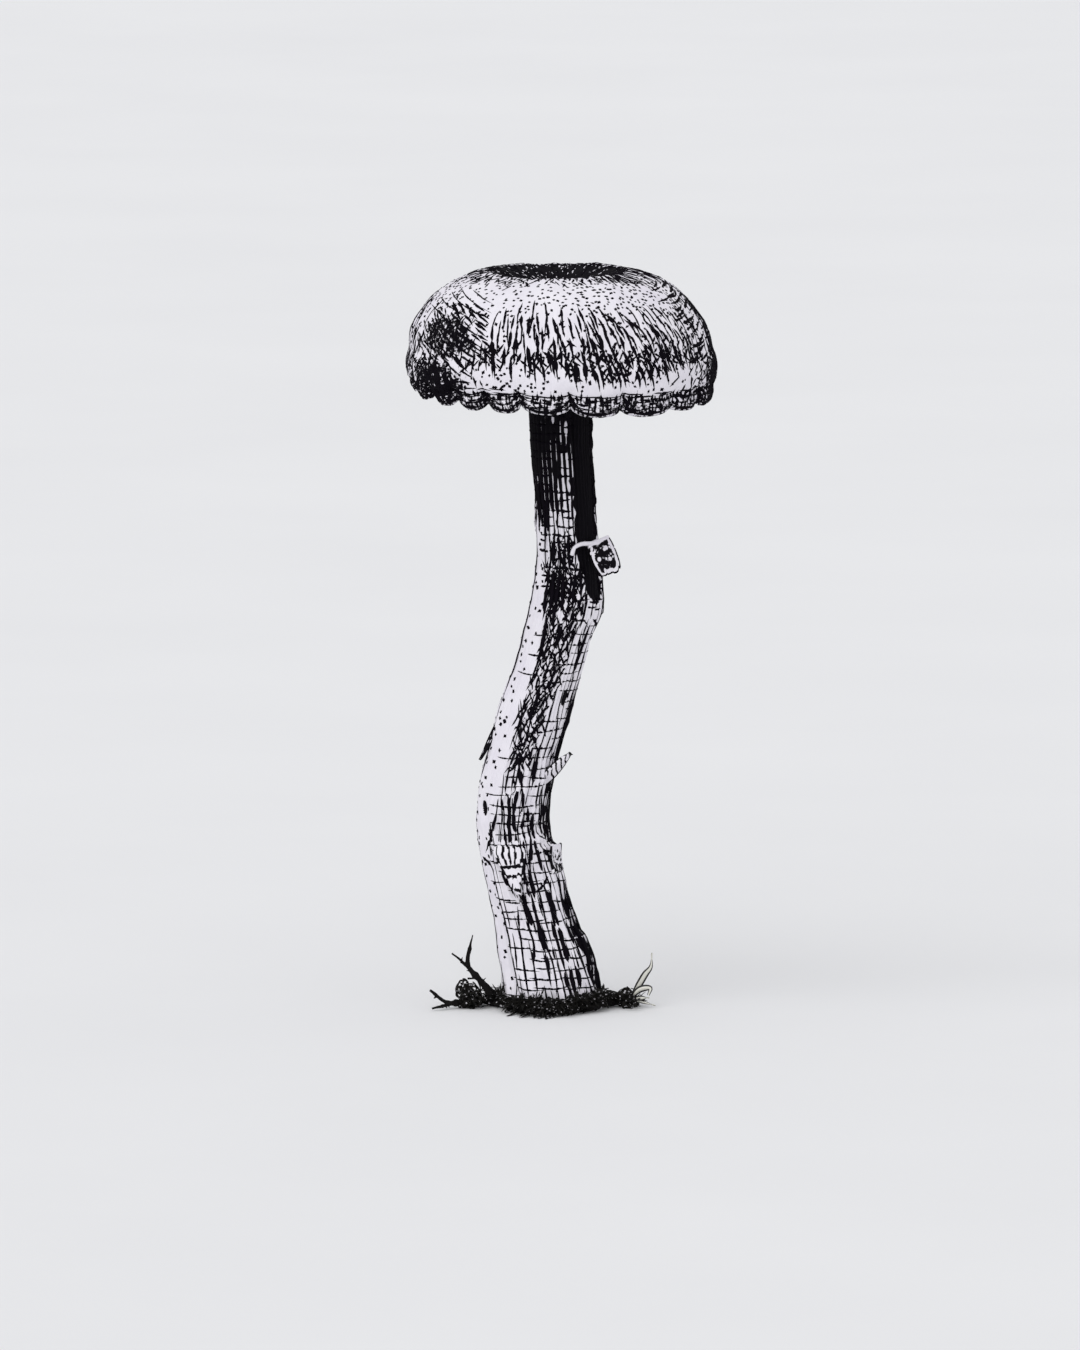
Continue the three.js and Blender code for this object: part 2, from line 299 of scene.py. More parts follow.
class Graph:
    """A material whose nodes are made by short calls; an input may be a socket or a plain value."""

    def __init__(self, name):
        self.material = bpy.data.materials.new(name)
        self.material.use_nodes = True
        self.tree = self.material.node_tree
        self.shader = self.tree.nodes["Principled BSDF"]

    def feed(self, socket, value):
        if isinstance(value, bpy.types.NodeSocket):
            self.tree.links.new(value, socket)
        else:
            socket.default_value = value

    def node(self, kind, inputs, output=0, **settings):
        node = self.tree.nodes.new(kind)
        for key, value in settings.items():
            setattr(node, key, value)
        for key, value in inputs.items():
            self.feed(node.inputs[key], value)
        return node.outputs[output]

    def field(self, name, output="Fac"):
        """A value that the mesh holds for each of its points."""
        return self.node("ShaderNodeAttribute", {}, output, attribute_name=name)

    def place(self, scale=1 / MM):
        """Where a point lies on its piece: in mm, or in metres times another scale."""
        at = self.node("ShaderNodeTexCoord", {}, "Object")
        return self.node("ShaderNodeVectorMath", {0: at, "Scale": scale}, operation="SCALE")

    def math(self, operation, a, b=0.0, c=0.0):
        return self.node("ShaderNodeMath", {0: a, 1: b, 2: c}, operation=operation)

    def scaled(self, vector, size):
        """A vector in mm divided by the size of a pattern's cell along each axis."""
        step = [1 / s for s in size]
        return self.node("ShaderNodeVectorMath", {0: vector, 1: step}, operation="MULTIPLY")

    def noise(self, vector, detail=2.0, distortion=0.0):
        """Noise stretched to fill 0 to 1."""
        inputs = {"Vector": vector, "Scale": 1.0, "Detail": detail, "Distortion": distortion}
        return self.between(self.node("ShaderNodeTexNoise", inputs), 0.25, 0.75)

    def between(self, value, low, high, start=0.0, end=1.0):
        """Maps low..high to start..end, and stops there."""
        ends = {"Value": value, "From Min": low, "From Max": high, "To Min": start, "To Max": end}
        return self.node("ShaderNodeMapRange", ends)

    def above(self, value, level, softness=0.05):
        """1 where the value is above a level, with a soft edge."""
        over = self.math("SUBTRACT", value, level)
        return self.between(over, -softness, softness)

    def cells(self, vector):
        """Distance to the nearest of many scattered points, and that point's own random colour."""
        node = self.tree.nodes.new("ShaderNodeTexVoronoi")
        self.feed(node.inputs["Vector"], vector)
        self.feed(node.inputs["Scale"], 1.0)
        random = self.node("ShaderNodeSeparateColor", {0: node.outputs["Color"]})
        return node.outputs["Distance"], random, random.node.outputs[1]

    def mix(self, share, a, b):
        node = self.tree.nodes.new("ShaderNodeMix")
        node.data_type = "RGBA"
        for key, value in ((0, share), (6, a), (7, b)):
            self.feed(node.inputs[key], value)
        return node.outputs[2]

    def finish(self, color, roughness, height, depth_mm, **constants):
        """Joins the patterns to the shader; height is 0 to 1 and depth_mm what 1 stands for."""
        bump = self.node("ShaderNodeBump", {"Height": height, "Strength": 1.0, "Distance": depth_mm * MM})
        self.feed(self.shader.inputs["Base Color"], color)
        self.feed(self.shader.inputs["Roughness"], roughness)
        self.feed(self.shader.inputs["Normal"], bump)
        for key, value in constants.items():
            self.shader.inputs[key.replace("_", " ")].default_value = value
        return self.material


def opaque(color):
    """A colour with its alpha, as sockets take it."""
    return (*color[:3], 1.0)


def felted_skin(name, pale, tint, ink, fleck):
    """Pale felted skin. The mesh's tone darkens whole patches, some of them painted shade, which keep pale
    flecks of a given size.
    """
    g = Graph(name)
    grain = g.field("grain", "Vector")
    tone = g.field("tone")

    streaks = g.noise(g.scaled(grain, [0.6 * size for size in fleck]), detail=3)
    dark = g.above(g.math("MULTIPLY_ADD", streaks, 0.5, tone), 0.75, 0.05)
    near, size, chance = g.cells(g.scaled(grain, fleck))
    reach = g.math("MULTIPLY_ADD", size, 0.26, 0.14)
    inside = g.above(reach, near, 0.03)
    flecks = g.math("MULTIPLY", inside, g.above(chance, g.math("MULTIPLY", tone, 0.5), 0.01))
    dark = g.math("MULTIPLY", dark, g.math("SUBTRACT", 1.0, flecks))

    mottle = g.noise(g.scaled(grain, (4.0, 4.0, 5.0)), detail=3)
    felt = g.noise(g.scaled(grain, (0.16, 0.16, 0.5)), detail=2)
    shaded = g.mix(g.math("MULTIPLY", mottle, 0.5), opaque(pale), opaque(tint))
    fibred = g.mix(g.math("MULTIPLY", felt, 0.16), shaded, opaque([c * 0.72 for c in tint]))
    color = g.mix(dark, fibred, opaque(ink))
    height = g.math("MULTIPLY_ADD", dark, -0.4, g.math("MULTIPLY", felt, 0.35))
    return g.finish(color, g.between(dark, 0, 1, 0.62, 0.85), height, 0.05, Specular_IOR_Level=0.1)


def fibre_material(name, ink):
    """Near-black violet fibres."""
    g = Graph(name)
    place = g.place()
    uneven = g.noise(g.scaled(place, (0.5,) * 3), detail=2)
    color = g.mix(uneven, opaque(ink), opaque([c * 1.8 for c in ink]))
    return g.finish(color, 0.9, uneven, 0.01, Specular_IOR_Level=0.05)


def gill_material(name, pale, tint):
    """Gills dusted with spores, with painted shade towards their roots, whose depth the mesh gives."""
    g = Graph(name)
    grain = g.field("grain", "Vector")
    depth = g.field("depth")
    spores = g.noise(g.scaled(grain, (0.3, 0.3, 0.3)), detail=4)
    bands = g.noise(g.scaled(grain, (1.6, 1.6, 5.0)), detail=2)
    body = g.mix(g.math("MULTIPLY", bands, 0.6), opaque(pale), opaque(tint))
    # Painted shade deepens towards the gills' roots.
    color = g.mix(g.math("MULTIPLY", depth, 0.75), body, opaque([c * 0.35 for c in tint]))
    return g.finish(color, g.between(spores, 0, 1, 0.62, 0.85), spores, 0.05, Specular_IOR_Level=0.2)


def earth_material(name, dark, light, grit, lump, specks):
    """Damp crumbly soil or matted moss, with a share of pale specks of grit."""
    g = Graph(name)
    place = g.place()
    clumps = g.noise(g.scaled(place, (lump,) * 3), detail=5)
    fine = g.noise(g.scaled(place, (lump / 5,) * 3), detail=3)
    near, _, chance = g.cells(g.scaled(place, (lump * 0.8,) * 3))
    speck = g.math("MULTIPLY", g.above(0.27, near, 0.04), g.above(specks, chance, 0.02))
    base = g.mix(clumps, opaque(dark), opaque(light))
    color = g.mix(speck, base, opaque(grit))
    height = g.math("ADD", g.math("MULTIPLY", clumps, 0.7), g.math("MULTIPLY", fine, 0.4))
    return g.finish(color, g.between(fine, 0, 1, 0.7, 0.95), height, 0.25, Specular_IOR_Level=0.15)


def bark_material(name, dark, light):
    """Thin ridged bark; the grain runs along the twig."""
    g = Graph(name)
    place = g.place()
    ridges = g.noise(g.scaled(place, (0.6, 0.14, 0.14)), detail=4, distortion=0.4)
    knots = g.noise(g.scaled(place, (0.9,) * 3), detail=2)
    color = g.mix(g.math("MULTIPLY", ridges, knots), opaque(dark), opaque(light))
    return g.finish(color, g.between(ridges, 0, 1, 0.7, 0.95), ridges, 0.08, Specular_IOR_Level=0.1)


def blade_material(name, pale, dark):
    """A dry blade with fine veins and dark edges, which the mesh gives as edge."""
    g = Graph(name)
    edge = g.field("edge")
    grain = g.field("grain", "Vector")
    veins = g.noise(g.scaled(grain, (0.12, 0.12, 2.5)), detail=2)
    body = g.mix(g.math("MULTIPLY", veins, 0.5), opaque(pale), opaque([c * 0.6 for c in pale]))
    rim = g.above(edge, 0.5, 0.06)
    return g.finish(g.mix(rim, body, opaque(dark)), g.between(veins, 0, 1, 0.5, 0.75), veins, 0.04)


# ---- Fibres laid on a skin -----------------------------------------------------------------------


class Skin:
    """A round piece's grid of points, on which fibres are laid by distance along it and by turn."""

    def __init__(self, rings, start, step, radius):
        self.rings, self.start, self.step, self.radius = rings, start, step, radius
        onward = np.gradient(rings, axis=0)
        across = np.roll(rings, -1, axis=1) - np.roll(rings, 1, axis=1)
        normals = np.cross(across, onward)
        outward = rings - rings.mean(axis=1, keepdims=True)
        normals *= np.sign(np.einsum("ijk,ijk->", normals, outward * np.array([1, 1, 0])))
        self.normals = normals / np.maximum(np.linalg.norm(normals, axis=-1, keepdims=True), 1e-9)

    def at(self, along, turn):
        """Points and outward normals."""
        rows, columns = self.rings.shape[:2]
        row = np.clip((along - self.start) / self.step, 0, rows - 1.001)
        column = turn / 360 * columns
        i, j = row.astype(int), np.floor(column).astype(int)
        u, v = (row - i)[..., None], (column - j)[..., None]
        j, k = j % columns, (j + 1) % columns
        found = []
        for grid in (self.rings, self.normals):
            near = grid[i, j] * (1 - u) + grid[i + 1, j] * u
            far = grid[i, k] * (1 - u) + grid[i + 1, k] * u
            found.append(near * (1 - v) + far * v)
        return found


class Fibres:
    """Thin raised fibres on a skin, gathered into one mesh. Headings are in degrees from the grain."""

    RISE = 0.07  # mm from the skin up to a fibre's ridge
    SINK = 0.02  # mm that its edges lie in the skin
    SPREAD = 1.6  # how much wider than its nominal width each fibre is made

    def __init__(self, skin, seed):
        self.skin, self.rng = skin, np.random.default_rng(seed)
        self.points, self.quads, self.ends, self.count = [], [], [], 0

    def scatter(self, span, pitch, chance, share=1.0, jitter=0.42):
        """Evenly strewn places between two distances, with a share of what chance says of them kept."""
        low, high = span
        along, turn = [], []
        for row in np.arange(low + pitch[0] / 2, high, pitch[0]):
            count = max(int(2 * np.pi * self.skin.radius(row) / pitch[1]), 1)
            shift = self.rng.uniform(-jitter, jitter, count) + self.rng.random()
            turn.append((np.arange(count) + shift) * 360 / count)
            along.append(row + self.rng.uniform(-jitter, jitter, count) * pitch[0])
        along, turn = np.concatenate(along), turned_by(np.concatenate(turn), 0)
        wanted = chance(along, turn) if callable(chance) else chance
        kept = self.rng.random(len(along)) < share * wanted
        return along[kept], turn[kept]

    def spread(self, low, high, like):
        """A random number between two for each place."""
        return self.rng.uniform(low, high, len(like))

    def strokes(self, places, heading, length, width, curl=0.0, samples=6, wobble=8.0):
        """A fibre through the middle of each place; each value may be one number or one per place."""
        along, turn = places
        if len(along) == 0:
            return
        t = np.linspace(0, 1, samples)
        heading, length, width, curl = (
            np.broadcast_to(value, along.shape)[:, None] for value in (heading, length, width, curl)
        )
        bend = np.cumsum(self.rng.normal(0, wobble, (len(along), samples)), axis=1) / np.sqrt(samples)
        angle = np.radians(heading + curl * (t - 0.5) + bend - bend.mean(axis=1, keepdims=True))
        step = length / (samples - 1)
        onward, across = np.cumsum(np.cos(angle) * step, axis=1), np.cumsum(np.sin(angle) * step, axis=1)
        onward -= onward.mean(axis=1, keepdims=True)
        across -= across.mean(axis=1, keepdims=True)
        path = along[:, None] + onward
        self.lay(path, turn[:, None] + np.degrees(across / self.skin.radius(path)), width)

    def sow(self, span, pitch, chance, heading, sway, length, width, share=1.0, jitter=0.42, **shape):
        """Strewn strokes: sway is how far a heading varies, and length and width are ranges."""
        places = self.scatter(span, pitch, chance, share, jitter)
        aim = heading + self.spread(-sway, sway, places[0])
        length = self.spread(*length, places[0])
        self.strokes(places, aim, length, self.spread(*width, places[0]), **shape)

    def dots(self, span, pitch, chance, length, width, share=1.0):
        """Strewn dots and dashes that lie any way round."""
        places = self.scatter(span, pitch, chance, share, 0.5)
        heading = self.spread(0, 180, places[0])
        length = self.spread(*length, places[0])
        self.strokes(places, heading, length, self.spread(*width, places[0]), samples=3)

    def lay(self, along, turn, width):
        """Fibres along given paths, one to a row, each blunt at its start and fine at its end."""
        count, samples = along.shape
        t = np.linspace(0, 1, samples)
        points, normals = self.skin.at(along, turn)
        ahead = np.gradient(points, axis=1)
        side = np.cross(normals, ahead)
        side /= np.maximum(np.linalg.norm(side, axis=-1, keepdims=True), 1e-9)
        shape = np.maximum(np.sin(np.pi * t**0.75) ** 0.55, 0.2)
        uneven = 1 + self.rng.uniform(-0.22, 0.22, (count, samples))
        half = (width / 2 * self.SPREAD * shape * uneven)[..., None]
        ridge = points + normals * self.RISE * shape[:, None]
        sunk = points - normals * self.SINK
        ring = np.stack([sunk + side * half, ridge, sunk - side * half], axis=2)
        index = self.count + np.arange(count * samples * 3).reshape(count, samples, 3)
        self.points.append(ring.reshape(-1, 3))
        self.quads.append(between_rings(index))
        self.ends.append(np.vstack([index[:, 0, ::-1], index[:, -1]]))
        self.count += ring.size // 3

    def make(self, name):
        faces = np.vstack(self.quads).tolist() + np.vstack(self.ends).tolist()
        return make_mesh(name, np.vstack(self.points), faces)


# ---- Cap -----------------------------------------------------------------------------------------

CAP_COLUMNS = 560
CAP_OUTER_ROWS = 110
CAP_INNER_ROWS = 14
CAP_GROOVES = 104  # fine radial grooves, which join in pairs towards the crown
CAP_LEAN = 0.045  # how far the cap shifts to the left for each mm up
WIDEST_Z = CAP_LOW[2] + 5.0
DOME_RISE = 0.6  # mm that the dome's curve passes the CAD cap, before the crown sinks it
CROWN_R = 0.48 * CAP_R  # radius of the sunken middle
RIM_Z = CAP_LOW[2] + 0.9  # where the margin turns under

LOBE_DEG = 20  # a common lobe's width

# Notches between the margin's lobes, in degrees to the right of the front.
LOBE_NOTCHES = (
    -77, -62, -46, -31, -17, 3, 24, 48, 66, 84,
    103, 121, 139, 158, 177, 196, 213, 232, 250, 267,
)

# Painted shade on the cap, at the left margin and down the right side: darkness, turn and height, half
# width in degrees and in mm.
CAP_SHADE_PATCHES = (
    (0.84, (-54, 75.0), (18, 2.9)),
    (1.25, (86, 74.2), (15, 3.6)),
    (0.90, (89, 79.0), (9, 5.0)),
)

# Thin lines that run round the left shoulder, each from a turn and height to another.
SHOULDER_LINES = (
    ((-73, 84.3), (-38, 82.5)),
    ((-68, 85.0), (-34, 82.9)),
    ((-62, 85.4), (-30, 83.3)),
    ((-52, 85.5), (-32, 84.3)),
    ((-76, 83.4), (-44, 82.0)),
)

# Long fine dark lines down either side of the cap, along its outline, as painted shade at its edges: turn
# and upper end.
CAP_OUTLINE = ((-88, 84.5), (-84, 84), (-81, 79), (88, 86.4), (85, 84), (81, 83), (77, 80))


def lobe_share(turn):
    """0 in a notch and 1 amid a lobe, the lobe's number, and its width against a common one's."""
    notches = np.array([*LOBE_NOTCHES, LOBE_NOTCHES[0] + 360], float)
    at = (turn - notches[0]) % 360 + notches[0]
    lobe = np.clip(np.searchsorted(notches, at, side="right") - 1, 0, len(LOBE_NOTCHES) - 1)
    start, end = notches[lobe], notches[lobe + 1]
    across = 2 * (at - start) / (end - start) - 1
    return np.sqrt(np.maximum(1 - across**2, 0)), lobe, (end - start) / LOBE_DEG


def cap_profile(crown_depth):
    """Radius and height from the crown's middle, over the dome, round the margin and over the gills."""
    sweep = np.linspace(0, np.pi / 2, 400)
    radius = CAP_R * np.sin(sweep) ** (2 / 3.2)
    sunk = np.maximum(1 - (radius / CROWN_R) ** 2, 0) ** 1.5
    dome_height = CAP_HIGH[2] + DOME_RISE - WIDEST_Z
    dome = np.stack([radius, WIDEST_Z + dome_height * np.cos(sweep) - crown_depth * sunk], axis=1)
    side = [(CAP_R, WIDEST_Z), (CAP_R - 0.1, 75.1), (CAP_R - 0.35, 74.0), (CAP_R - 0.8, 72.9)]
    side.append((CAP_R - 1.3, RIM_Z))
    outer = evenly(np.vstack([dome, catmull(side, 60)[1:]]), CAP_OUTER_ROWS)
    lip = [(CAP_R - 1.3, RIM_Z), (CAP_R - 1.6, RIM_Z - 0.25), (CAP_R - 1.9, RIM_Z)]
    lip.append((CAP_R - 1.95, RIM_Z + 1.0))
    under = [(16.2, 75.2), (15.7, 78.0), (14.4, 79.9), (11.5, 81.4), (8.5, 81.3), (5.0, 80.6)]
    under.append((0.4, 80.6))
    inner = evenly(catmull(lip + under, 120), CAP_INNER_ROWS + 1)[1:]
    return outer, inner


def belt_depth(turn, z):
    """0 at the top of the cap's dark belt and 1 at its lower edge, which dips at the right."""
    bottom = 77.4 - 1.5 * hump(turned_by(turn, 24), 0, 26)
    return (83.6 - z) / (83.6 - bottom)


def cap_tone(turn, z, radius, ragged):
    """How dark whole patches of the cap are, with the sunken crown, the tucked margin and the right side
    as painted shade; ragged moves the edge of one, in degrees.
    """
    # The sunken crown is darkened as painted shade in its hollow.
    crown = (0.95 - 0.2 * hump(turned_by(turn, 0), 0, 60)) * ramp(radius, 9.0, 7.4) * (z > 80)
    left = 1.7 * patch(turn + ragged, z + 0.1 * ragged, (-49, 80.4), (15, 2.7))
    belt = 0.40 * patch(turn, z, (24, 78.2), (30, 1.5)) * (belt_depth(turn, z) < 1.05)
    # The last tone darkens the margin tucked under the rolled rim, as painted shade.
    tones = [crown, 0.60 * np.minimum(left, 1), belt, 0.51 * ramp(z, 74.2, 73.8)]
    tones += [darkness * patch(turn, z, at, size) for darkness, at, size in CAP_SHADE_PATCHES]
    return np.maximum.reduce(tones)


def build_cap(crown_depth, lobe_depth):
    """The cap, and the dark fibres that lie on it."""
    outer, inner = cap_profile(crown_depth)
    profile = np.vstack([outer, inner])
    rows = len(profile)
    along = np.concatenate([[0], np.cumsum(np.linalg.norm(np.diff(profile, axis=0), axis=1))])
    turn = np.broadcast_to(np.arange(CAP_COLUMNS) / CAP_COLUMNS * 360, (rows, CAP_COLUMNS))
    radius = np.repeat(profile[:, :1], CAP_COLUMNS, axis=1)
    z = np.repeat(profile[:, 1:], CAP_COLUMNS, axis=1)
    outside = np.arange(rows)[:, None] < CAP_OUTER_ROWS
    angle = np.radians(turn)
    v = np.repeat(along[:, None], CAP_COLUMNS, axis=1)
    grain = np.stack([CAP_R * np.sin(angle), -CAP_R * np.cos(angle), v], axis=-1)
    tone = np.where(outside, cap_tone(turn, z, radius, 9 * noise(grain, 2.4, 6)), 0.3)

    # Radial grooves wander a little and grow fewer towards the crown.
    wander = noise(grain, (2.2, 2.2, 3.4), 1) * 0.9 + noise(grain, (7, 7, 9), 2) * 2.2
    fine = 0.5 + 0.5 * np.cos(CAP_GROOVES * angle + wander)
    coarse = 0.5 + 0.5 * np.cos(CAP_GROOVES / 2 * angle + wander * 0.8)
    inward = ramp(radius, 10.5, 6.5) * (z > 80)
    groove = fine * (1 - inward) + coarse * inward
    depth = belt_depth(turn, z)
    grooved = 0.2 + 0.8 * ramp(depth, -0.1, 0.3) * ramp(depth, 1.1, 0.9)

    # The margin: lobes bulge between notches, deepest at the left, and hang lower at the front right.
    share, lobe, width = lobe_share(turn)
    low = ramp(z, WIDEST_Z - 0.6, RIM_Z + 0.3) * (radius > 14.5)
    sag = 0.8 * np.cos(np.radians(turn - 50))
    uneven = np.random.default_rng(5).uniform(-0.45, 0.45, len(LOBE_NOTCHES))[lobe]
    shallow = 1 - 0.5 * hump(turned_by(turn, 40), 0, 45)
    notch = (1 - share) * (lobe_depth * np.clip(width, 0.7, 1.05) + uneven * 0.4) * shallow
    z_out = z + low * (notch - sag - uneven * 0.5 * share)
    bulge = low * (0.85 * share - 0.5 + 0.12 * np.cos(5 * angle + 1))

    # The rolled rim stands proud: a valley lies above it where the belt ends, and a crease below it.
    roll = 0.12 * hump(z, 75.9, 1.2) - 0.12 * hump(z, 78.2, 1.0) - 0.26 * hump(z, 73.9, 0.35)
    swell = 0.2 * noise(grain, (8, 8, 6), 3) + 0.13 * noise(grain, (2.6, 2.6, 2.6), 4)
    relief = -0.09 * groove * grooved
    pits = 0.05 * noise(grain, (0.7, 0.7, 0.8), 5)
    lift = np.where(outside, roll + swell + relief + pits, 0.15 * swell)

    slope = np.gradient(profile, axis=0)
    slope /= np.linalg.norm(slope, axis=1, keepdims=True)
    r_out = np.maximum(radius - lift * slope[:, 1:] + bulge, 0.02)
    z_out = z_out + lift * slope[:, :1]
    lean = -CAP_LEAN * (z_out - 75)
    x = CAP_X + lean * (radius > 1) + r_out * np.sin(angle)
    y = -r_out * np.cos(angle)
    rings = np.stack([x, y, z_out], axis=-1)
    girth = np.maximum(profile[:, 0], 1)
    skin = Skin(rings[:CAP_OUTER_ROWS], 0, along[1], lambda at: np.interp(at, along, girth))
    return round_body("cap_flesh", rings, {"grain": grain, "tone": tone}), cap_fibres(skin, outer)


def cap_fibres(skin, outer):
    """The dark fibres, streaks and dots on the cap; outer is its profile from the crown to the margin."""
    ink = Fibres(skin, 91)
    rows = np.arange(len(outer))
    end = skin.step * rows[-1]
    outside = outer[:, 0] > 9.0  # past the crown's lip each height comes only once

    def radius(along):
        return np.interp(along / skin.step, rows, outer[:, 0])

    def height(along):
        return np.interp(along / skin.step, rows, outer[:, 1])

    def where(z):
        """The distance along the profile at a height outside the crown."""
        return float(np.interp(-z, -outer[outside, 1], rows[outside])) * skin.step

    rim, edge, brow = where(74.2), where(RIM_Z + 0.3), where(84.2)
    crest = float(np.interp(8.2, outer[:, 0], rows)) * skin.step

    def left_patch(along, turn):
        return patch(turn, height(along), (-48, 80.6), (19, 3.4))

    # The right limb, where fibres paint the cap's shade.
    def shaded_limb(along, turn):
        return hump(turn, 76, 15) * ramp(height(along), 76, 78) * ramp(height(along), 86.5, 85)

    def in_belt(along, turn):
        depth = belt_depth(turn, height(along))
        elsewhere = (1 - ramp(left_patch(along, turn), 0.15, 0.5)) * (1 - 0.9 * hump(turn, -80, 17))
        return ramp(depth, -0.08, 0.12) * ramp(depth, 1.08, 0.96) * elsewhere

    def streaked(along, turn):
        return in_belt(along, turn) * (1 - 0.5 * shaded_limb(along, turn)) * (0.97 - 0.14 * hump(turn, -13, 14))

    def matted(along, turn):
        low_down = in_belt(along, turn) * ramp(belt_depth(turn, height(along)), 0.38, 0.8)
        return low_down * (0.9 - 0.4 * hump(turn, -13, 14)) * (1 - shaded_limb(along, turn))

    def crown_ring(along, turn):
        return ramp(radius(along), 12.6 - 1.6 * hump(turn, -5, 30), 9.0)

    # Low on both sides, where crossed fibres paint shade on the margins.
    def sides(along, turn):
        return np.maximum(hump(turn, -60, 17), hump(turn, 84, 20)) * ramp(height(along), 78.4, 76.5)

    def dotted(along, turn):
        """Dots are thickest on the right of the crown's pale ring."""
        z, r = height(along), radius(along)
        ring = ramp(r, 9.5, 10.5) * ramp(z, 82.6, 83.6)
        ring = ring * (0.52 + 0.45 * hump(turn, 42, 34) + 0.25 * hump(turn, -75, 25))
        band = ramp(z, 77.9, 77.0) * ramp(z, 74.2, 74.6) * (0.36 + 0.25 * hump(turn, -30, 22))
        left_edge = hump(turn, -82, 13) * ramp(z, 74.5, 76) * ramp(z, 86, 84) * 0.75
        return np.maximum.reduce([ring, band, left_edge, 0.35 * in_belt(along, turn)])

    # Streaks down the belt: upright at the front left, leaning and curved at the right.
    places = ink.scatter((brow, rim), (1.45, 0.82), streaked)
    turn = places[1]
    depth = belt_depth(turn, height(places[0]))
    lean = 20 * hump(turn, 34, 30) + 10 * ramp(np.abs(turn), 95, 140) * np.sin(np.radians(3 * turn))
    heading = lean + ink.spread(-7, 7, turn)
    length = ink.spread(2.0, 3.7, turn)
    width = 0.21 + 0.09 * depth + ink.spread(-0.03, 0.06, turn)
    ink.strokes(places, heading, length, width, curl=-26 * hump(turn, 34, 30))
    # Fibres that cross them lower down and mat together.
    belt = brow, rim
    ink.sow(belt, (0.78, 0.72), matted, -34, 16, (0.8, 1.6), (0.17, 0.27), samples=5)
    ink.sow(belt, (0.8, 0.8), matted, 48, 16, (0.8, 1.6), (0.17, 0.27), share=0.8, samples=5)

    # The dark patch at the left: fibres round the cap, crossed by short ones.
    ink.sow(
        (brow - 3, rim), (0.66, 1.35), lambda a, t: ramp(left_patch(a, t), 0.12, 0.5),
        60, 9, (1.5, 2.6), (0.18, 0.28), samples=9,
    )
    ink.sow(
        (brow - 2, rim), (0.95, 0.7), lambda a, t: ramp(left_patch(a, t), 0.3, 0.8),
        -14, 20, (0.8, 1.6), (0.15, 0.22), share=0.9, samples=5,
    )
    # Fibres round the right limb, and crossed fibres on the margins at both sides, are painted shade.
    ink.sow(
        (brow - 3, rim), (0.66, 2.9), lambda a, t: ramp(shaded_limb(a, t), 0.2, 0.5),
        100, 8, (2.2, 4.2), (0.22, 0.36), share=0.95, curl=14, samples=12,
    )
    for heading in (8, 75, -50):
        ink.sow((where(79), edge), (0.8, 0.75), sides, heading, 12, (0.9, 2.0), (0.18, 0.3), samples=5)

    # Short crossed fibres round the crown, longer and radial at the right, and radial ones inside it; they
    # are partly the skin's own fibres and partly painted shade of the sunken crown.
    for heading in (24, -26):
        places = ink.scatter((crest - 0.8, brow), (0.95, 0.72), crown_ring, share=0.95)
        right = hump(places[1], 58, 34)
        aim = heading * (1 - 0.8 * right) + ink.spread(-9, 9, right)
        length = ink.spread(0.8, 1.5, right) + right
        ink.strokes(places, aim, length, ink.spread(0.18, 0.27, right))
    ink.sow((2.0, crest), (1.2, 0.6), 0.6, 0, 8, (1.0, 2.4), (0.14, 0.24))

    for number, ((turn, z), (last_turn, last_z)) in enumerate(SHOULDER_LINES):
        t = np.linspace(0, 1, 12)
        path = np.array([where(at) for at in z + (last_z - z) * t**1.15])
        ink.lay(path[None], (turn + (last_turn - turn) * t)[None], 0.13 + 0.03 * (number % 2))

    ink.dots((crest + 0.8, edge), (0.62, 0.62), dotted, (0.28, 0.52), (0.26, 0.4))

    # The tucked margin is netted with lines down and across it as painted shade under the rolled rim, and
    # outlined lobe by lobe with painted shade along its lip and in the notches.
    ink.sow((rim, edge), (1.1, 0.52), 0.95, 0, 5, (1.1, 1.7), (0.2, 0.3), samples=4, wobble=3)
    ink.sow((rim, edge), (0.52, 1.2), 0.9, 90, 4, (1.0, 1.8), (0.16, 0.25), samples=6, wobble=3)
    ink.sow(
        (rim - 0.25, rim + 0.25), (0.5, 2.6), lambda a, t: 0.95 - 0.4 * hump(t, -60, 25),
        90, 3, (2.4, 3.6), (0.16, 0.24), samples=8, wobble=3,
    )
    places = ink.scatter((rim - 0.7, rim + 0.9), (0.4, 2.0), lambda a, t: 0.9 * hump(t, -27, 13))
    heading = 90 + ink.spread(-4, 4, places[0])
    ink.strokes(places, heading, ink.spread(1.8, 3.2, places[0]), 0.13, samples=7, wobble=3)
    t = np.linspace(0, 1, 14)
    for start, stop in zip(LOBE_NOTCHES, (*LOBE_NOTCHES[1:], LOBE_NOTCHES[0] + 360)):
        lip = end - 0.42 - 0.3 * np.abs(2 * t - 1) ** 3
        ink.lay(lip[None], (start + (stop - start) * t)[None], 0.3)
        drop = np.linspace(where(73.9), end - 0.1, 6)
        ink.lay(drop[None], (start + 2.0 * np.sin(np.linspace(0, 3, 6)))[None], 0.3)

    # Dark lines along the cap's outline paint shade at its edges.
    for side_turn, top in CAP_OUTLINE:
        path = np.linspace(where(top), where(73.5), 40)
        ink.lay(path[None], (side_turn + 1.3 * np.sin(path * 0.5 + side_turn))[None], 0.26)
    return ink.make("cap_dark_fibres")


# ---- Gills ---------------------------------------------------------------------------------------

GILL_COUNT = 26  # full-length gills; each gap between two holds one half-length and two short ones
# Inner radius of each kind of gill, and its place in the gap between two full-length ones.
GILL_KINDS = ((5.35, 0.0), (9.2, 0.5), (12.4, 0.25), (12.9, 0.75))


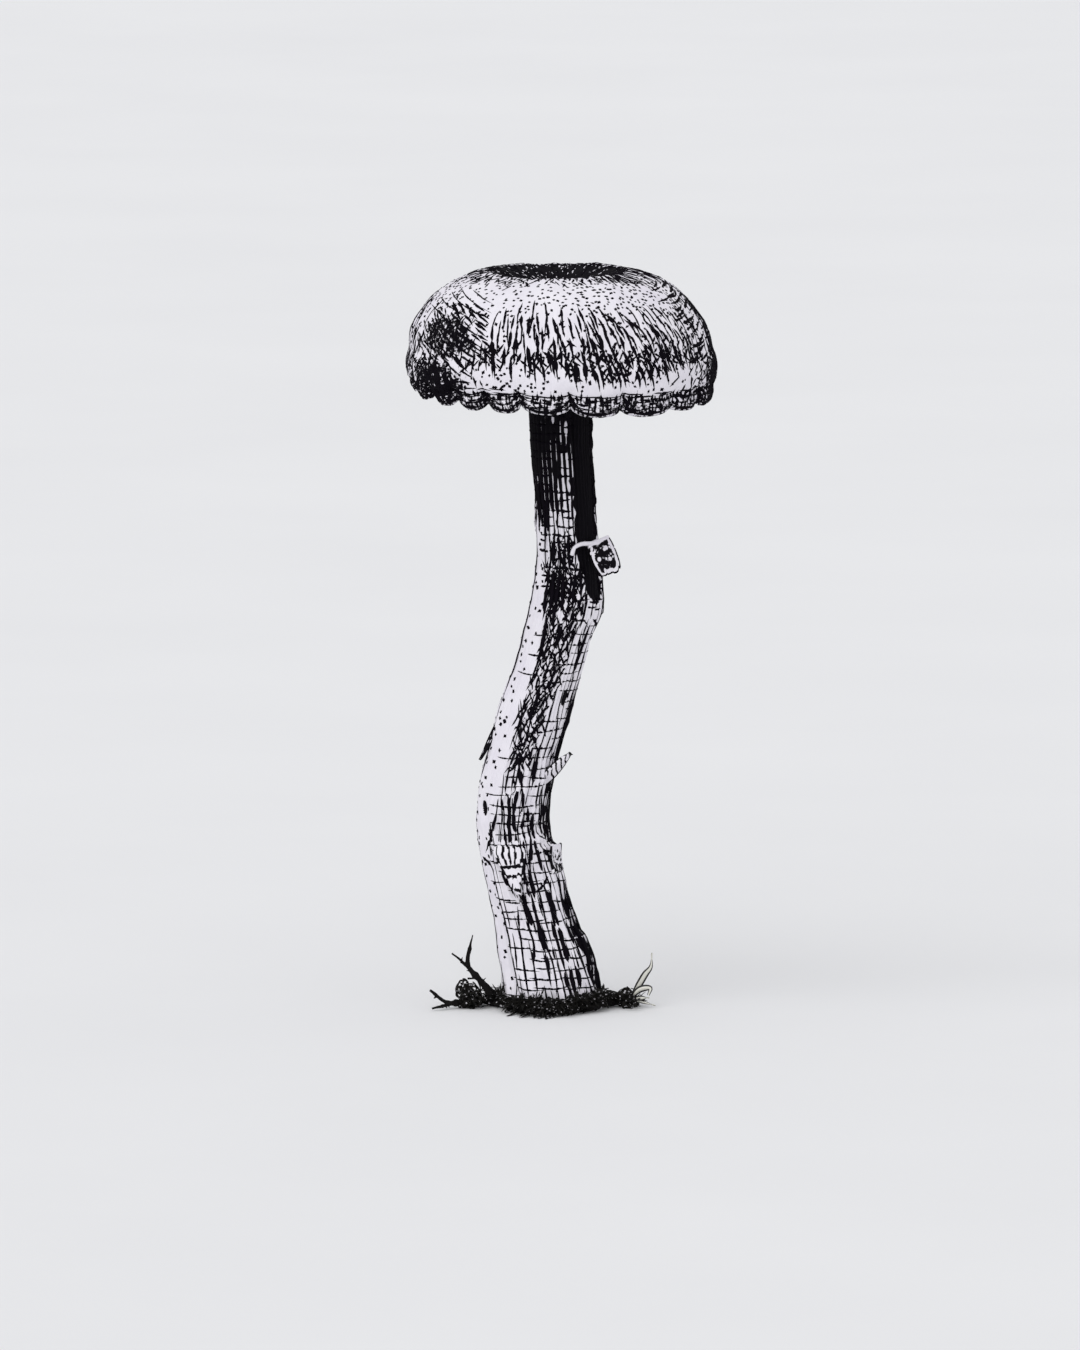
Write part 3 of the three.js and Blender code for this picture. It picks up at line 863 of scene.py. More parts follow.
def gill_plate(turn, inner, rng):
    """One gill from an inner radius out to the margin, wavy and thinner towards its lower edge."""
    rows, columns = 7, 16
    reach = np.linspace(0, 1, columns)
    radius = inner + (CAP_R - 2.2 - inner) * reach
    under = np.interp(radius, [5, 8.5, 11.5, 14.4, 15.7, 16.2], [80.9, 81.6, 81.7, 80.3, 78.4, 75.8])
    edge_z = 75.2 - 1.4 * reach**1.5 + rng.uniform(-0.15, 0.15)
    start = 1 - reach if inner > 6 else np.zeros(columns)
    edge_z = edge_z + (under - edge_z) * np.clip(start, 0, 1) ** 1.6 * 0.97
    edge_z = np.minimum(edge_z + 1.6 * ramp(reach, 0.94, 1.0), under - 0.1)
    down = np.linspace(0, 1, rows)[:, None]
    z = under + (edge_z - under) * down
    sway = rng.uniform(0.06, 0.2) * np.sin(radius * rng.uniform(0.5, 1.1) + rng.uniform(0, 6)) * down
    thickness = (0.62 - 0.34 * down) * np.ones_like(z) * (0.75 if inner > 6 else 1)
    radii = np.broadcast_to(radius, z.shape)
    angle = np.radians(turn)
    out = np.array([np.sin(angle), -np.cos(angle), 0.0])
    side = np.array([np.cos(angle), np.sin(angle), 0.0])
    front = out * radii[..., None] + side * (sway + thickness / 2)[..., None]
    front = front + UP * z[..., None] + np.array([CAP_X, 0, 0])
    depth = np.broadcast_to(1 - down, z.shape)
    grain = np.stack([radii, np.full_like(z, turn / 5), z], axis=-1)
    return sheet_body(front, thickness, {"grain": grain, "depth": depth})


def build_gills():
    """Full-length gills, with a half-length and two short ones in each gap."""
    rng = np.random.default_rng(21)
    heap = Heap()
    for i in range(GILL_COUNT):
        for inner, share in GILL_KINDS:
            turn = (i + share + rng.uniform(-0.06, 0.06)) * 360 / GILL_COUNT
            heap.add(*gill_plate(turn, inner + rng.uniform(-0.4, 0.4) * (inner > 6), rng))
    return heap.make("gill_plates")


# ---- Stem ----------------------------------------------------------------------------------------

STEM_COLUMNS = 240
STEM_ROWS = 330
STEM_GROOVES = 38  # grooves between the fibres round the stem
STEM_R = 4.3  # mm, the radius at mid height
GRAIN_R = 4  # mm, the radius that the grain is wrapped round
STEM_RIBS = 9
STEM_TRACKS = 31  # long dark lines round the stem
PEEL_AND_SHADE = {"from": 20, "to": 86, "low": 48.9}  # turns and lower end of the dark strip: skin torn away below the lip, painted shade above it


def stem_place(turn, z, lift=0.0):
    """Points on the stem at a turn and a height, lifted off its surface."""
    x, y, radius = stem_line(z)
    angle = np.radians(turn)
    reach = radius + lift
    return np.stack(np.broadcast_arrays(x + reach * np.sin(angle), y - reach * np.cos(angle), z), axis=-1)


def stem_grain(turn, z):
    """Coordinates in mm that follow the stem, so that its noise doesn't stretch where it bends."""
    angle = np.radians(turn)
    x, y = GRAIN_R * np.sin(angle), -GRAIN_R * np.cos(angle)
    return np.stack(np.broadcast_arrays(x, y, z), axis=-1)


def tongue(turn, z, at, high, low, half_width):
    """A pointed tongue of skin that hangs from high to low: 1 inside, falling to 0 at its edge."""
    share = np.clip((high - z) / (high - low), 0, 1)
    reach = half_width * (1 - share) ** 0.7
    inside = ramp(np.abs(turned_by(turn, at)), reach, reach - 4)
    return inside * ramp(z, high + 0.3, high - 0.3) * ramp(z, low - 0.2, low + 0.3)


TONGUES = (  # turn, top, tip, half width in degrees
    (-4, 20.2, 13.6, 24),
    (27, 20.6, 14.6, 17),
    (-30, 25.5, 18.6, 13),
    (8, 26.6, 20.8, 15),
    (34, 27.5, 22.6, 12),
    (140, 31.0, 23.0, 20),
    (200, 19.0, 12.0, 22),
    (-120, 39.0, 30.0, 20),
    (105, 52.0, 44.0, 22),
)


def peel_and_shade_share(turn, z, points):
    """1 on the dark strip at the right, below the cap, with a ragged edge: skin torn away below the lip,
    and painted shade on the stem's dark right side above it.
    """
    ragged = noise(points, (0.9, 0.9, 1.1), 8) * 5 + noise(points, (2.4, 2.4, 4.0), 9) * 5
    middle, half = (PEEL_AND_SHADE["from"] + PEEL_AND_SHADE["to"]) / 2, (PEEL_AND_SHADE["to"] - PEEL_AND_SHADE["from"]) / 2
    narrow = 8 * ramp(z, 54.5, 50)
    away = np.abs(turned_by(turn, middle + narrow)) + ragged
    sides = ramp(away, half - narrow + 1.5, half - narrow - 1.5)
    end = PEEL_AND_SHADE["low"] + 0.15 * ragged
    return sides * ramp(z, end - 0.25, end + 0.25)


def stem_zones(turn, z):
    """How far a place on the stem belongs to its dark band, its pale left side and its dark top; the pale
    left side, kept bare of fibres, is a painted lit side, and the dark top is painted shade under the cap
    over the stem's darker apex.
    """
    band_turn = np.interp(z, [28, 31, 36, 42, 48, 54], [0, -2, -2, 0, 2, 0])
    half = np.interp(z, [28, 36, 45, 50, 56], [14, 24, 26, 30, 34])
    away = np.abs(turned_by(turn, band_turn))
    band = ramp(away, half + 5, half - 5) * ramp(z, 27.5, 30.5) * ramp(z, 54, 50)
    left_limit = np.interp(z, [3, 12, 18, 28, 32, 38, 47, 56], [-50, -47, -45, -24, -26, -26, -33, -58])
    # The pale left side is a painted lit side: fibres are kept off it.
    pale = ramp(turned_by(turn, 0), left_limit + 3, left_limit - 3) * ramp(turned_by(turn, 0), -125, -100)
    pale = pale * ramp(z, 59, 57) * ramp(z, 1, 4)
    # The dark top is painted shade under the cap, over the stem's darker apex.
    top = ramp(z, 58.6, 60.0)
    return band, pale, top


STRAND_STEP = 10  # degrees between the long lines of the upper stem
STRAND_TURN = -6  # turn of one of them


def slits(turn, z, points):
    """1 in the pale slits that are left between the long lines of the dark top, wider at the front; the
    dark top is painted shade under the cap as well as the stem's darker apex.
    """
    away = turned_by(turn, 0)
    front = np.interp(z, [58, 61, 66, 71, 77], [0.7, 0.56, 0.3, 0.06, 0.03])
    front = front * ramp(np.abs(away - 5), 15, 12)
    left = np.interp(z, [58.8, 59.6, 70, 77], [0.5, 0.22, 0.12, 0.05]) * ramp(np.abs(away + 26), 20, 17)
    open_share = np.maximum(front, left)
    phase = np.radians((turn - STRAND_TURN) * 360 / STRAND_STEP)
    level = np.cos(np.pi * (1 - open_share))
    between = ramp(-np.cos(phase), -level - 0.2, -level + 0.2)
    whole = 0.4 * (z < 66)
    broken = ramp(noise(points, (1.0, 1.0, 1.3), 19), -0.3 - whole, -0.1 - whole)
    return between * broken * (open_share > 0.02)


# Edges of torn skin on the front of the stem: each is a thickness and a line of turns and heights.
TORN_EDGES = (
    (0.17, (-26, 28.1), (-22, 25.5), (-14, 22.8), (-17, 18.3)),
    (0.34, (-26, 25.1), (-27, 22.6), (-38, 20.4), (-56, 18.5)),
    (0.15, (-21, 25.2), (-17, 22.6), (-19, 20.3)),
    (0.28, (-17, 25.8), (-10, 25.0), (-5, 22.2), (-12, 17.6)),
    (0.16, (-10, 27.8), (-2, 26.2), (-7, 25.6)),
    (0.15, (-26, 28.1), (-19, 28.8), (-4, 28.4)),
    (0.40, (-11, 30.5), (6, 27.0), (14, 24.2), (10, 23.4)),
    (0.38, (25, 32.1), (24, 28.9), (24, 26.1)),
    (0.30, (60, 30.6), (48, 28.0), (43, 25.4), (50, 22.0), (59, 20.0)),
    (0.60, (62, 27.5), (57, 23.9), (74, 19.9)),
    (0.32, (-25, 17.1), (-27, 15.8), (-18, 13.5)),
    (0.34, (14, 19.5), (6, 16.8), (-16, 13.5)),
    (0.36, (24, 19.5), (15, 16.4), (15, 14.3)),
    (0.30, (41, 15.9), (27, 14.8), (14, 14.2)),
    (0.34, (40, 19.8), (53, 18.1), (63, 16.8)),
    (0.15, (41, 22.5), (41, 20.9), (61, 20.0)),
    (0.30, (-65, 18.0), (-46, 16.8), (-48, 14.3), (-46, 11.0)),
    (0.14, (-45, 17.4), (-18, 17.5), (4, 17.6)),
    (0.20, (-3, 22.4), (17, 22.4), (41, 22.4)),
    (0.45, (-4, 25.2), (0, 23.6), (2, 22.2)),
    (0.20, (-20, 12.5), (-27, 9.4), (-29, 5.9), (-27, 1.5)),
    (0.40, (5, 12.7), (5, 9.3), (10, 6.4), (9, 3.7), (6, 2.2)),
    (0.45, (-12, 10.8), (-9, 8.3), (-14, 6.2)),
    (0.22, (42, 15.5), (30, 11.7), (27, 9.2), (26, 5.6), (23, 1.7)),
    (0.50, (74, 15.1), (65, 10.2), (71, 6.0), (66, 2.2)),
    (0.45, (55, 10.1), (59, 7.2), (59, 4.5), (53, 2.0)),
    (0.30, (-46, 15.4), (-48, 10.6), (-46, 5.4), (-50, 1.3)),
    (0.22, (19, 46.2), (38, 46.2), (54, 45.2)),
    (0.40, (60, 46.2), (80, 45.0), (70, 43.6)),
    (0.26, (39, 45.1), (48, 41.9), (55, 38.6)),
    (0.32, (25, 38.2), (26, 36.0), (26, 32.5), (24, 28.5)),
    (0.17, (-25, 37.6), (-22, 34.1), (-26, 30.9)),
    (0.20, (41, 35.6), (48, 31.9), (43, 29.0)),
    (0.34, (-31, 47.3), (-23, 42.8), (-25, 38.8)),
)


# Lines near the stem's outline, painted shade at its edges, heaviest down the shaded right side: turn,
# lower end, upper end and width.
STEM_OUTLINE = (
    (-79, 2, 27, 0.36), (-78, 27, 34, 0.44), (-79, 34, 62, 0.36), (-82, 59, 76, 0.3),
    (86, 49, 76, 0.2), (79, 20, 49, 0.55), (82, 2, 20, 0.5), (72, 2, 19, 0.5),
    (88, 2, 20, 0.3), (70, 20, 47, 0.3),
)


def build_stem(relief_mm):
    """The stem, and the dark fibres that lie on it."""
    heights = np.linspace(STEM_FOOT, STEM_TOP - 0.2, STEM_ROWS)
    turn, z = np.meshgrid(np.arange(STEM_COLUMNS) / STEM_COLUMNS * 360, heights)
    angle = np.radians(turn)
    x, y, radius = stem_line(z)
    grain = stem_grain(turn, z)
    peel_and_shade = peel_and_shade_share(turn, z, grain)
    frayed = z + 1.1 * noise(grain, (0.5, 0.5, 2.5), 18)
    band, pale, top = stem_zones(turn, frayed)
    # The strip's darkness is bared flesh below the lip and painted shade above it.
    tone = np.maximum(0.35 * band, 1.9 * peel_and_shade)
    # The dark top adds painted shade under the cap to the stem's darker apex.
    tone = np.maximum(tone, 1.25 * top * (1 - slits(turn, z, grain)))
    # The right side of the foot is darkened as painted shade.
    tone = np.maximum(tone, 0.62 * hump(turned_by(turn, 84), 0, 16) * ramp(z, 17, 13))

    # Fibres run up the stem and drift sideways as they climb.
    drift = noise(grain, (3.5, 3.5, 9), 11) * 2.6 + noise(grain, (1.3, 1.3, 5), 12) * 1.5
    groove = 0.5 + 0.5 * np.cos(STEM_GROOVES * angle + drift + z * 0.05)
    groove = np.clip(groove + 0.25 * noise(grain, (0.8, 0.8, 3.5), 13), 0, 1)
    ribs = 0.5 + 0.5 * np.cos(STEM_RIBS * angle + noise(grain, (6, 6, 12), 14) * 3 + z * 0.08)

    wavy = turn + 4 * noise(grain, (1.5, 1.5, 1.5), 15)
    skin = np.maximum.reduce([tongue(wavy, z, *form) for form in TONGUES])

    lift = -relief_mm * groove * np.clip(1.1 - pale, 0.3, 1.0)
    lift = lift - 0.42 * ribs * ramp(z, 20, 3) - 0.10 * ribs
    lift = lift + 0.26 * skin - 0.38 * peel_and_shade
    lift = lift + 0.16 * noise(grain, (2.6, 2.6, 3.4), 16) + 0.05 * noise(grain, (0.6, 0.6, 1.0), 17)
    # Torn ledges on the right, a knuckle above the bend, and a dimple by the knee on the left.
    lift = lift + 0.55 * ramp(z, 19.6, 19.1) * ramp(z, 13.0, 16.5) * hump(turned_by(turn, 72), 0, 30)
    lift = lift + 0.40 * ramp(z, 9.0, 8.6) * ramp(z, 3.5, 6.5) * hump(turned_by(turn, 78), 0, 22)
    lift = lift + 0.45 * patch(turn, z, (88, 46.6), (30, 2.0))
    lift = lift + 0.25 * patch(turn, z, (-85, 27.5), (30, 2.5))
    pit = patch(turn + 4 * (z - 23.8), z, (-55, 23.8), (7, 1.0))
    lift = lift - 0.45 * pit
    stain = patch(turn, z, (47, 37.0), (7, 1.2))
    # The dimple's darkening is painted shade in its hollow.
    tone = np.maximum(tone, 1.1 * ramp(np.maximum(pit, stain), 0.35, 0.6))
    lift = lift + 0.35 * ramp(z, 70, 76)  # the stem widens into the cap

    reach = radius + lift
    rings = np.stack([x + reach * np.sin(angle), y - reach * np.cos(angle), z], axis=-1)
    made = round_body("stem_flesh", rings, {"grain": grain, "tone": tone})
    skin = Skin(rings, STEM_FOOT, heights[1] - heights[0], lambda at: stem_line(at)[2])
    return made, stem_fibres(skin)


def stem_fibres(skin):
    """The long dark fibres, cross lines, torn edges and dots on the stem."""
    ink = Fibres(skin, 93)
    low, high = STEM_FOOT + 0.4, STEM_TOP - 2

    def bare(along, turn):
        """1 where fibres may lie: neither on the peeled and shaded strip nor on the pale left side, which
        stands for the lit side.
        """
        peeled_and_shaded = peel_and_shade_share(turn, along, stem_grain(turn, along))
        return (1 - peeled_and_shaded) * (1 - stem_zones(turn, along)[1])

    def crossed(along, turn):
        band = stem_zones(turn, along)[0]
        return bare(along, turn) * (1 - 0.7 * band) * np.where(along < 19, 0.95, 0.8)

    def banded(along, turn):
        above = 0.45 * bare(along, turn) * ramp(along, 47, 50) * ramp(along, 58, 55)
        return 0.95 * stem_zones(turn, along)[0] + above * hump(turn, 0, 60)

    def pale_side(along, turn):
        return stem_zones(turn, along)[1] * (np.abs(turn + 80) < 42)

    # Long lines that thicken and thin as they run up, each in pieces that nearly meet.
    for track in range(STEM_TRACKS):
        z = low + ink.rng.uniform(0, 2)
        width = ink.rng.uniform(0.14, 0.3)
        while z < high:
            length = ink.rng.uniform(2.2, 6.5)
            middle = z + length / 2
            turn = track * 360 / STEM_TRACKS + 5 * math.sin(0.13 * middle + track)
            turn = turned_by(turn + ink.rng.uniform(-1.6, 1.6), 0)
            width = np.clip(width + ink.rng.uniform(-0.1, 0.1), 0.12, 0.36)
            place = np.array([middle]), np.array([turn])
            band = stem_zones(turn, middle)[0]
            share = float(bare(*place)[0]) * (0.93 - 0.35 * band) * (middle < 49)
            if ink.rng.random() < share:
                heading = ink.rng.uniform(-2.5, 2.5)
                thick = width * (1.1 + 0.2 * (middle < 12))
                ink.strokes(place, heading, length, thick, samples=9, wobble=3.5)
            z += length * ink.rng.uniform(0.94, 1.12)

    # The strands of the upper stem keep evenly apart and run on into the dark top, which is painted shade
    # under the cap over the stem's darker apex.
    for turn in range(STRAND_TURN - 180, STRAND_TURN + 180, STRAND_STEP):
        for bottom, top in ((47.5, 52.8), (52.2, 57.4), (56.8, 62.5)):
            path = np.linspace(bottom, top, 14) + ink.rng.uniform(-0.5, 0.5)
            wave = turn + 1.6 * np.sin(path * 0.7 + turn) + ink.rng.uniform(-0.8, 0.8)
            middle = np.array([path.mean()]), np.array([turned_by(turn, 0)])
            if bare(*middle)[0] > 0.4:
                ink.lay(path[None], wave[None], ink.rng.uniform(0.26, 0.42))

    # Fine cross lines that sag a little, close together up the stem and down at the foot.
    ink.sow(
        (low, 46), (1.12, 2.7), crossed, 90, 5, (2.6, 5.2), (0.12, 0.19),
        jitter=0.16, curl=-12, samples=20, wobble=4,
    )
    ink.sow(
        (47, 76), (0.98, 1.3), crossed, 90, 8, (1.1, 2.3), (0.18, 0.32),
        jitter=0.22, samples=11, wobble=5,
    )
    # The dark band is matted from fibres crossed both ways.
    for heading, pitch in ((27, (1.15, 0.62)), (-30, (1.25, 0.66)), (4, (2.2, 1.0))):
        ink.sow((27, 57), pitch, banded, heading, 8, (1.6, 2.9), (0.15, 0.25))
    # Streaks down the right side paint its shade; those down the front of the foot are its fibres.
    ink.sow((low, 20), (2.4, 0.5), lambda a, t: 0.8 * hump(t, 76, 20), 0, 3, (2.2, 4.4), (0.18, 0.34))
    ink.sow(
        (low, 16), (2.2, 0.75), lambda a, t: 0.8 * bare(a, t) * hump(t, 30, 42),
        0, 4, (1.6, 3.6), (0.2, 0.36),
    )
    # Short strokes over the knee, and dots on the pale side.
    ink.sow((18.4, 23.0), (1.7, 0.7), bare, 0, 7, (1.5, 2.8), (0.15, 0.27), share=0.75, samples=9)
    ink.dots((low, 58), (1.25, 1.05), pale_side, (0.4, 0.6), (0.34, 0.5), share=0.74)

    for width, *line in TORN_EDGES:
        path = evenly(catmull(line, 40), 22)
        ink.lay(path[None, :, 1], path[None, :, 0], width)
    # Lines along the stem's outline paint shade at its edges.
    for turn, bottom, top, width in STEM_OUTLINE:
        path = np.linspace(bottom, top, int((top - bottom) * 2))
        ink.lay(path[None], (turn + 1.2 * np.sin(0.5 * path))[None], width)
    return ink.make("stem_dark_fibres")


# ---- Torn scales of skin -------------------------------------------------------------------------

SHEET_ROWS = 56
SHEET_COLUMNS = 30

# Skin that still lies along the stem: each piece is hinged at a turn and height and hangs or stands.
SCALES = {
    "scale_low_right": {
        "turn": 66, "hinge_z": 15.8, "length": 3.6, "width": 2.7, "stand_off": 0.5,
        "rise": 1, "ragged": 0.1, "seed": 34, "darkness": 0.5, "outlined": True,
    },
    "tongue_front": {
        "turn": -10, "hinge_z": 19.6, "length": 5.9, "width": 3.5, "stand_off": 0.22,
        "point": 0.95, "seed": 35, "darkness": 0.2, "bars": 5, "outlined": True,
    },
}

# Skin that stands clear of the stem. Each piece has two corners at its root and two at its free end.
FLAPS = {
    "torn_flap": {
        "corners": ((4.0, -3.5, 54.9), (6.3, -2.2, 55.9), (5.6, -4.2, 51.3), (7.8, -3.4, 52.5)),
        "thickness": 0.5, "bow": 0.5, "ragged": 0.10, "seed": 31, "darkness": 0.68, "outlined": True,
    },
    "scale_right": {
        "corners": ((-1.3, -1.9, 27.7), (-0.9, -1.2, 26.4), (1.85, -2.7, 30.45), (2.15, -2.7, 30.25)),
        "thickness": 0.35, "bulge": 0.42, "bow": 0.3, "ragged": 0.03, "seed": 32, "darkness": 0.2,
        "bars": 6,
    },
    "scale_left": {
        "corners": ((-6.75, -0.1, 33.4), (-6.2, -0.5, 33.3), (-8.55, -0.3, 29.3), (-8.3, -0.5, 29.4)),
        "thickness": 0.3, "bulge": 0.16, "bow": -0.1, "ragged": 0.03, "seed": 33, "darkness": 1.0,
    },
}

# The lip of skin over the peeled strip: turns, heights and how far it stands off the stem.
LIP_LINE = ((7, 54.0, 0.1), (12, 54.9, 0.3), (24, 55.3, 0.4), (40, 55.3, 0.5), (56, 55.5, 0.6))


def sheet_grid():
    """Places on a sheet: 0 to 1 from its root to its free end, and -1 to 1 across it."""
    down, side = np.linspace(0, 1, SHEET_ROWS), np.linspace(-1, 1, SHEET_COLUMNS)
    return np.meshgrid(down, side, indexing="ij")


def flap_sheet(corners, seed, thickness, ragged, darkness, bulge=0.0, bow=0.0, bars=0, outlined=False):
    """A standing flap: bulge widens its middle, and bow bends its face towards the front."""
    down, side = sheet_grid()
    a, b, c, d = (np.array(corner, float) for corner in corners)
    share = (side[..., None] + 1) / 2
    middle = 4 * (down * (1 - down))[..., None]
    flat = np.stack([side * 1.3, np.full_like(side, seed), down * 4], axis=-1)
    torn = noise(flat, (0.4, 1, 50), seed) + 0.5 * noise(flat, (0.2, 1, 50), seed + 1)
    end = (down + ragged * down**3 * torn)[..., None]
    root, tip = a + (b - a) * share, c + (d - c) * share
    across = (b - a) / np.linalg.norm(b - a)
    front = root + (tip - root) * end + across * bulge * middle * side[..., None]
    bowed = middle * (1 - side**2)[..., None] + 0.12 * noise(flat, 0.9, seed + 3)[..., None]
    front = front + FRONT * bow * bowed
    frayed = 0.14 * noise(flat, 0.6, seed + 2)
    near_edge = np.maximum(np.abs(side), np.maximum(2 * down - 1, (1 - 2 * down) * 0.97))
    rim = ramp(near_edge + frayed, 0.70, 0.84) * (darkness < 0.9)
    tone = np.maximum(darkness * (1 - rim), barred(down, side, bars, flat, seed))
    tone = np.maximum(tone, 1.6 * outlined * ramp(near_edge, 0.90, 0.95) * (down > 0.08))
    fields = {"grain": flat, "tone": tone}
    return sheet_body(front, thickness * (0.75 + 0.25 * rim), fields)


def add_lip(heap):
    """The thick pale lip of skin that runs from the torn flap across the peeled strip."""
    line = evenly(catmull([stem_place(*place) for place in LIP_LINE], 30), 24)
    points, faces = tube_body(line, 0.24 * (1 + 0.2 * noise(line, 0.5, 36)), 8)
    heap.add(points, faces, {"grain": points, "tone": np.zeros(len(points))})


def barred(down, side, bars, flat, seed):
    """Dark lines across a scale, and along both its edges when it has any."""
    wave = np.cos(2 * np.pi * (bars * (down + 0.05 * side) + 0.25 * noise(flat, 0.8, seed + 6)))
    across = ramp(wave, 0.55, 0.75) * (bars > 0) * ramp(down, 0.1, 0.25)
    return 1.6 * np.maximum(across, ramp(np.abs(side), 0.78, 0.88) * (bars > 0))


def scale_sheet(
    turn, hinge_z, length, width, stand_off, seed, darkness,
    rise=-1, point=0.15, ragged=0.12, thickness=0.34, bars=0, outlined=False,
):
    """A curled scale of skin that lies along the stem; point is how far it narrows."""
    down, side = sheet_grid()
    flat = np.stack([side * width / 2, np.full_like(side, seed), down * length], axis=-1)
    frayed = noise(flat, (0.45, 1, 50), seed) + 0.6 * noise(flat, (0.2, 1, 50), seed + 1)
    z = hinge_z + rise * length * down * (1 + ragged * frayed * down)
    half = width / 2 * (1 - point * down**1.3) * (1 + 0.25 * ragged * noise(flat, (50, 1, 0.6), seed + 2))
    lift = -0.35 + 0.6 * ramp(down, 0, 0.16) + stand_off * down**1.7
    lift = lift + 0.22 * noise(flat, (1.1, 1, 1.4), seed + 3) * ramp(down, 0.05, 0.4)
    lift = lift + 0.25 * stand_off * side**2 * down
    arc = np.degrees(side * half / STEM_R)
    front = stem_place(turn + arc, z, lift + thickness / 2)
    rim = np.maximum(ramp(np.abs(side), 0.62, 0.9), ramp(down, 0.8, 0.97))
    tone = np.maximum(darkness * (1 - rim), barred(down, side, bars, flat, seed) * ramp(down, 0.22, 0.3))
    strands = ramp(np.cos(5 * np.pi * side + 2 * noise(flat, 0.6, seed + 7)), 0.4, 0.7)
    strands = strands * ramp(down, 0.42, 0.3)
    edges = np.maximum(ramp(np.abs(side), 0.76, 0.86) * ramp(down, 0.2, 0.3), strands)
    tone = np.maximum(tone, 1.6 * outlined * edges)
    return sheet_body(front, thickness * (1 - 0.4 * rim), {"grain": flat, "tone": tone})


# ---- Clod, moss, litter, twigs and grass ---------------------------------------------------------

MOSS_BLADES = 700
CRUMBS = 230
FRINGE = ((0.0, 6.5, 3.0), (0.7, 5.5, 2.1), (1.3, 5.0, 1.7))  # mm from the edge, degrees apart, length
TUFTS = ((-22, 22), (16, 10), (52, 40), (-75, 14))  # turn and number of leaves
SIDE_LEAVES = 60


def clod_reach(turn):
    """How far the clod spreads in each direction: most at the front, with a tail to either side."""
    base = 5.9 + 1.3 * hump(turned_by(turn, -12), 0, 26) + 0.8 * hump(turned_by(turn, 180), 0, 60)
    tails = 1.9 * hump(turned_by(turn, -97), 0, 13) + 1.9 * hump(turned_by(turn, 95), 0, 12)
    ragged = 0.22 * np.sin(np.radians(7 * turn + 20)) + 0.16 * np.sin(np.radians(17 * turn))
    return base + tails + ragged


def out_from_foot(turn, reach, z):
    """Points at a distance from the middle of the foot, in a direction and at a height."""
    angle = np.radians(turn)
    return np.stack(np.broadcast_arrays(reach * np.sin(angle), -reach * np.cos(angle), z), axis=-1)


def clod_top(turn, share):
    """Height of the clod's top at a share of the way from the stem to its edge."""
    return 1.9 - 1.2 * share**1.5 + 0.5 * hump(turned_by(turn, 60), 0, 40) * (1 - share)


def build_clod():
    """The clod of soil, flat underneath and lumpy on top."""
    under = [(0.06, 0.0), (0.5, 0.0), (0.85, 0.0), (0.93, 0.08)]
    edge = [(0.985, 0.25), (1.0, 0.5)]
    columns = 240
    turn = np.arange(columns) / columns * 360
    reach = clod_reach(turn)
    rings = [out_from_foot(turn, reach * share, np.full(columns, z)) for share, z in under + edge]
    inner = 4.6  # mm from the middle, inside the stem's foot
    for share in np.linspace(0.97, 0.0, 26):
        rings.append(out_from_foot(turn, inner + (reach - inner) * share, clod_top(turn, share)))
    rings.append(out_from_foot(turn, np.full(columns, 0.4), np.full(columns, 1.2)))
    rings = np.array(rings)
    lumps = 0.34 * noise(rings, (1.0, 1.0, 1.0), 41) + 0.2 * noise(rings, (0.45, 0.45, 0.45), 42)
    free = ramp(rings[..., 2], 0.1, 0.7)
    rings[..., 2] += lumps * free
    outward = rings * np.array([1, 1, 0])
    outward /= np.maximum(np.linalg.norm(outward, axis=-1, keepdims=True), 1e-6)
    ragged = noise(rings, (0.7, 0.7, 0.7), 43) * 0.4 * ramp(rings[..., 2], 0.02, 0.3)
    rings += outward * ragged[..., None]
    rings[..., 2] = np.maximum(rings[..., 2], 0)
    return round_body("clod_soil", rings, {})


def lump_ball(centre, size, rng):
    """An uneven grain of soil: a small ball pushed in and out."""
    rows, columns = 6, 8
    around = np.arange(columns) / columns * 2 * np.pi
    rise, turn = np.meshgrid(np.linspace(-0.95, 0.95, rows), around, indexing="ij")
    flat = np.sqrt(1 - rise**2)
    ball = np.stack([flat * np.cos(turn), flat * np.sin(turn), rise], axis=-1)
    ball = ball * rng.uniform(0.6, 1.1, 3) * (1 + 0.3 * noise(ball * 3 + centre, 1.6, 44))[..., None]
    points = ball.reshape(-1, 3) * size + centre
    index = np.arange(rows * columns).reshape(rows, columns)
    return points, [*between_rings(index), index[0][::-1], index[-1]]


def build_crumbs():
    """Loose grains of soil over the clod and along its edge."""
    rng = np.random.default_rng(51)
    heap = Heap()
    for _ in range(CRUMBS):
        turn = rng.uniform(0, 360)
        share = rng.uniform(0.15, 1.02)
        reach = 5.2 + (clod_reach(turn) - 5.2) * share
        size = rng.uniform(0.14, 0.42) * (1.1 - 0.4 * share)
        centre = out_from_foot(turn, reach, clod_top(turn, min(share, 1)) + 0.1)
        centre[2] = max(centre[2] * (share < 1) + size * 0.6 * (share >= 1), size)
        heap.add(*lump_ball(centre, size, rng))
    return heap.make("soil_crumbs")


def moss_blade(heap, root, heading, length, width, rng, droop=1.0):
    """A short pointed leaf that leaves its root along a heading and bends over."""
    share = np.linspace(0, 1, 7)[:, None]
    curl = rng.normal(0, 0.12, 3)
    line = root + heading * length * share + curl * length * share**2
    line = line - UP * droop * length * 0.45 * share**2
    line[:, 2] = np.maximum(line[:, 2], 0.06 + 0.05 * rng.random())
    radii = width * (1 - share[:, 0]) ** 0.7 * (0.55 + 0.9 * share[:, 0]) + 0.015
    heap.add_tube(line, radii, 4, 0.45)


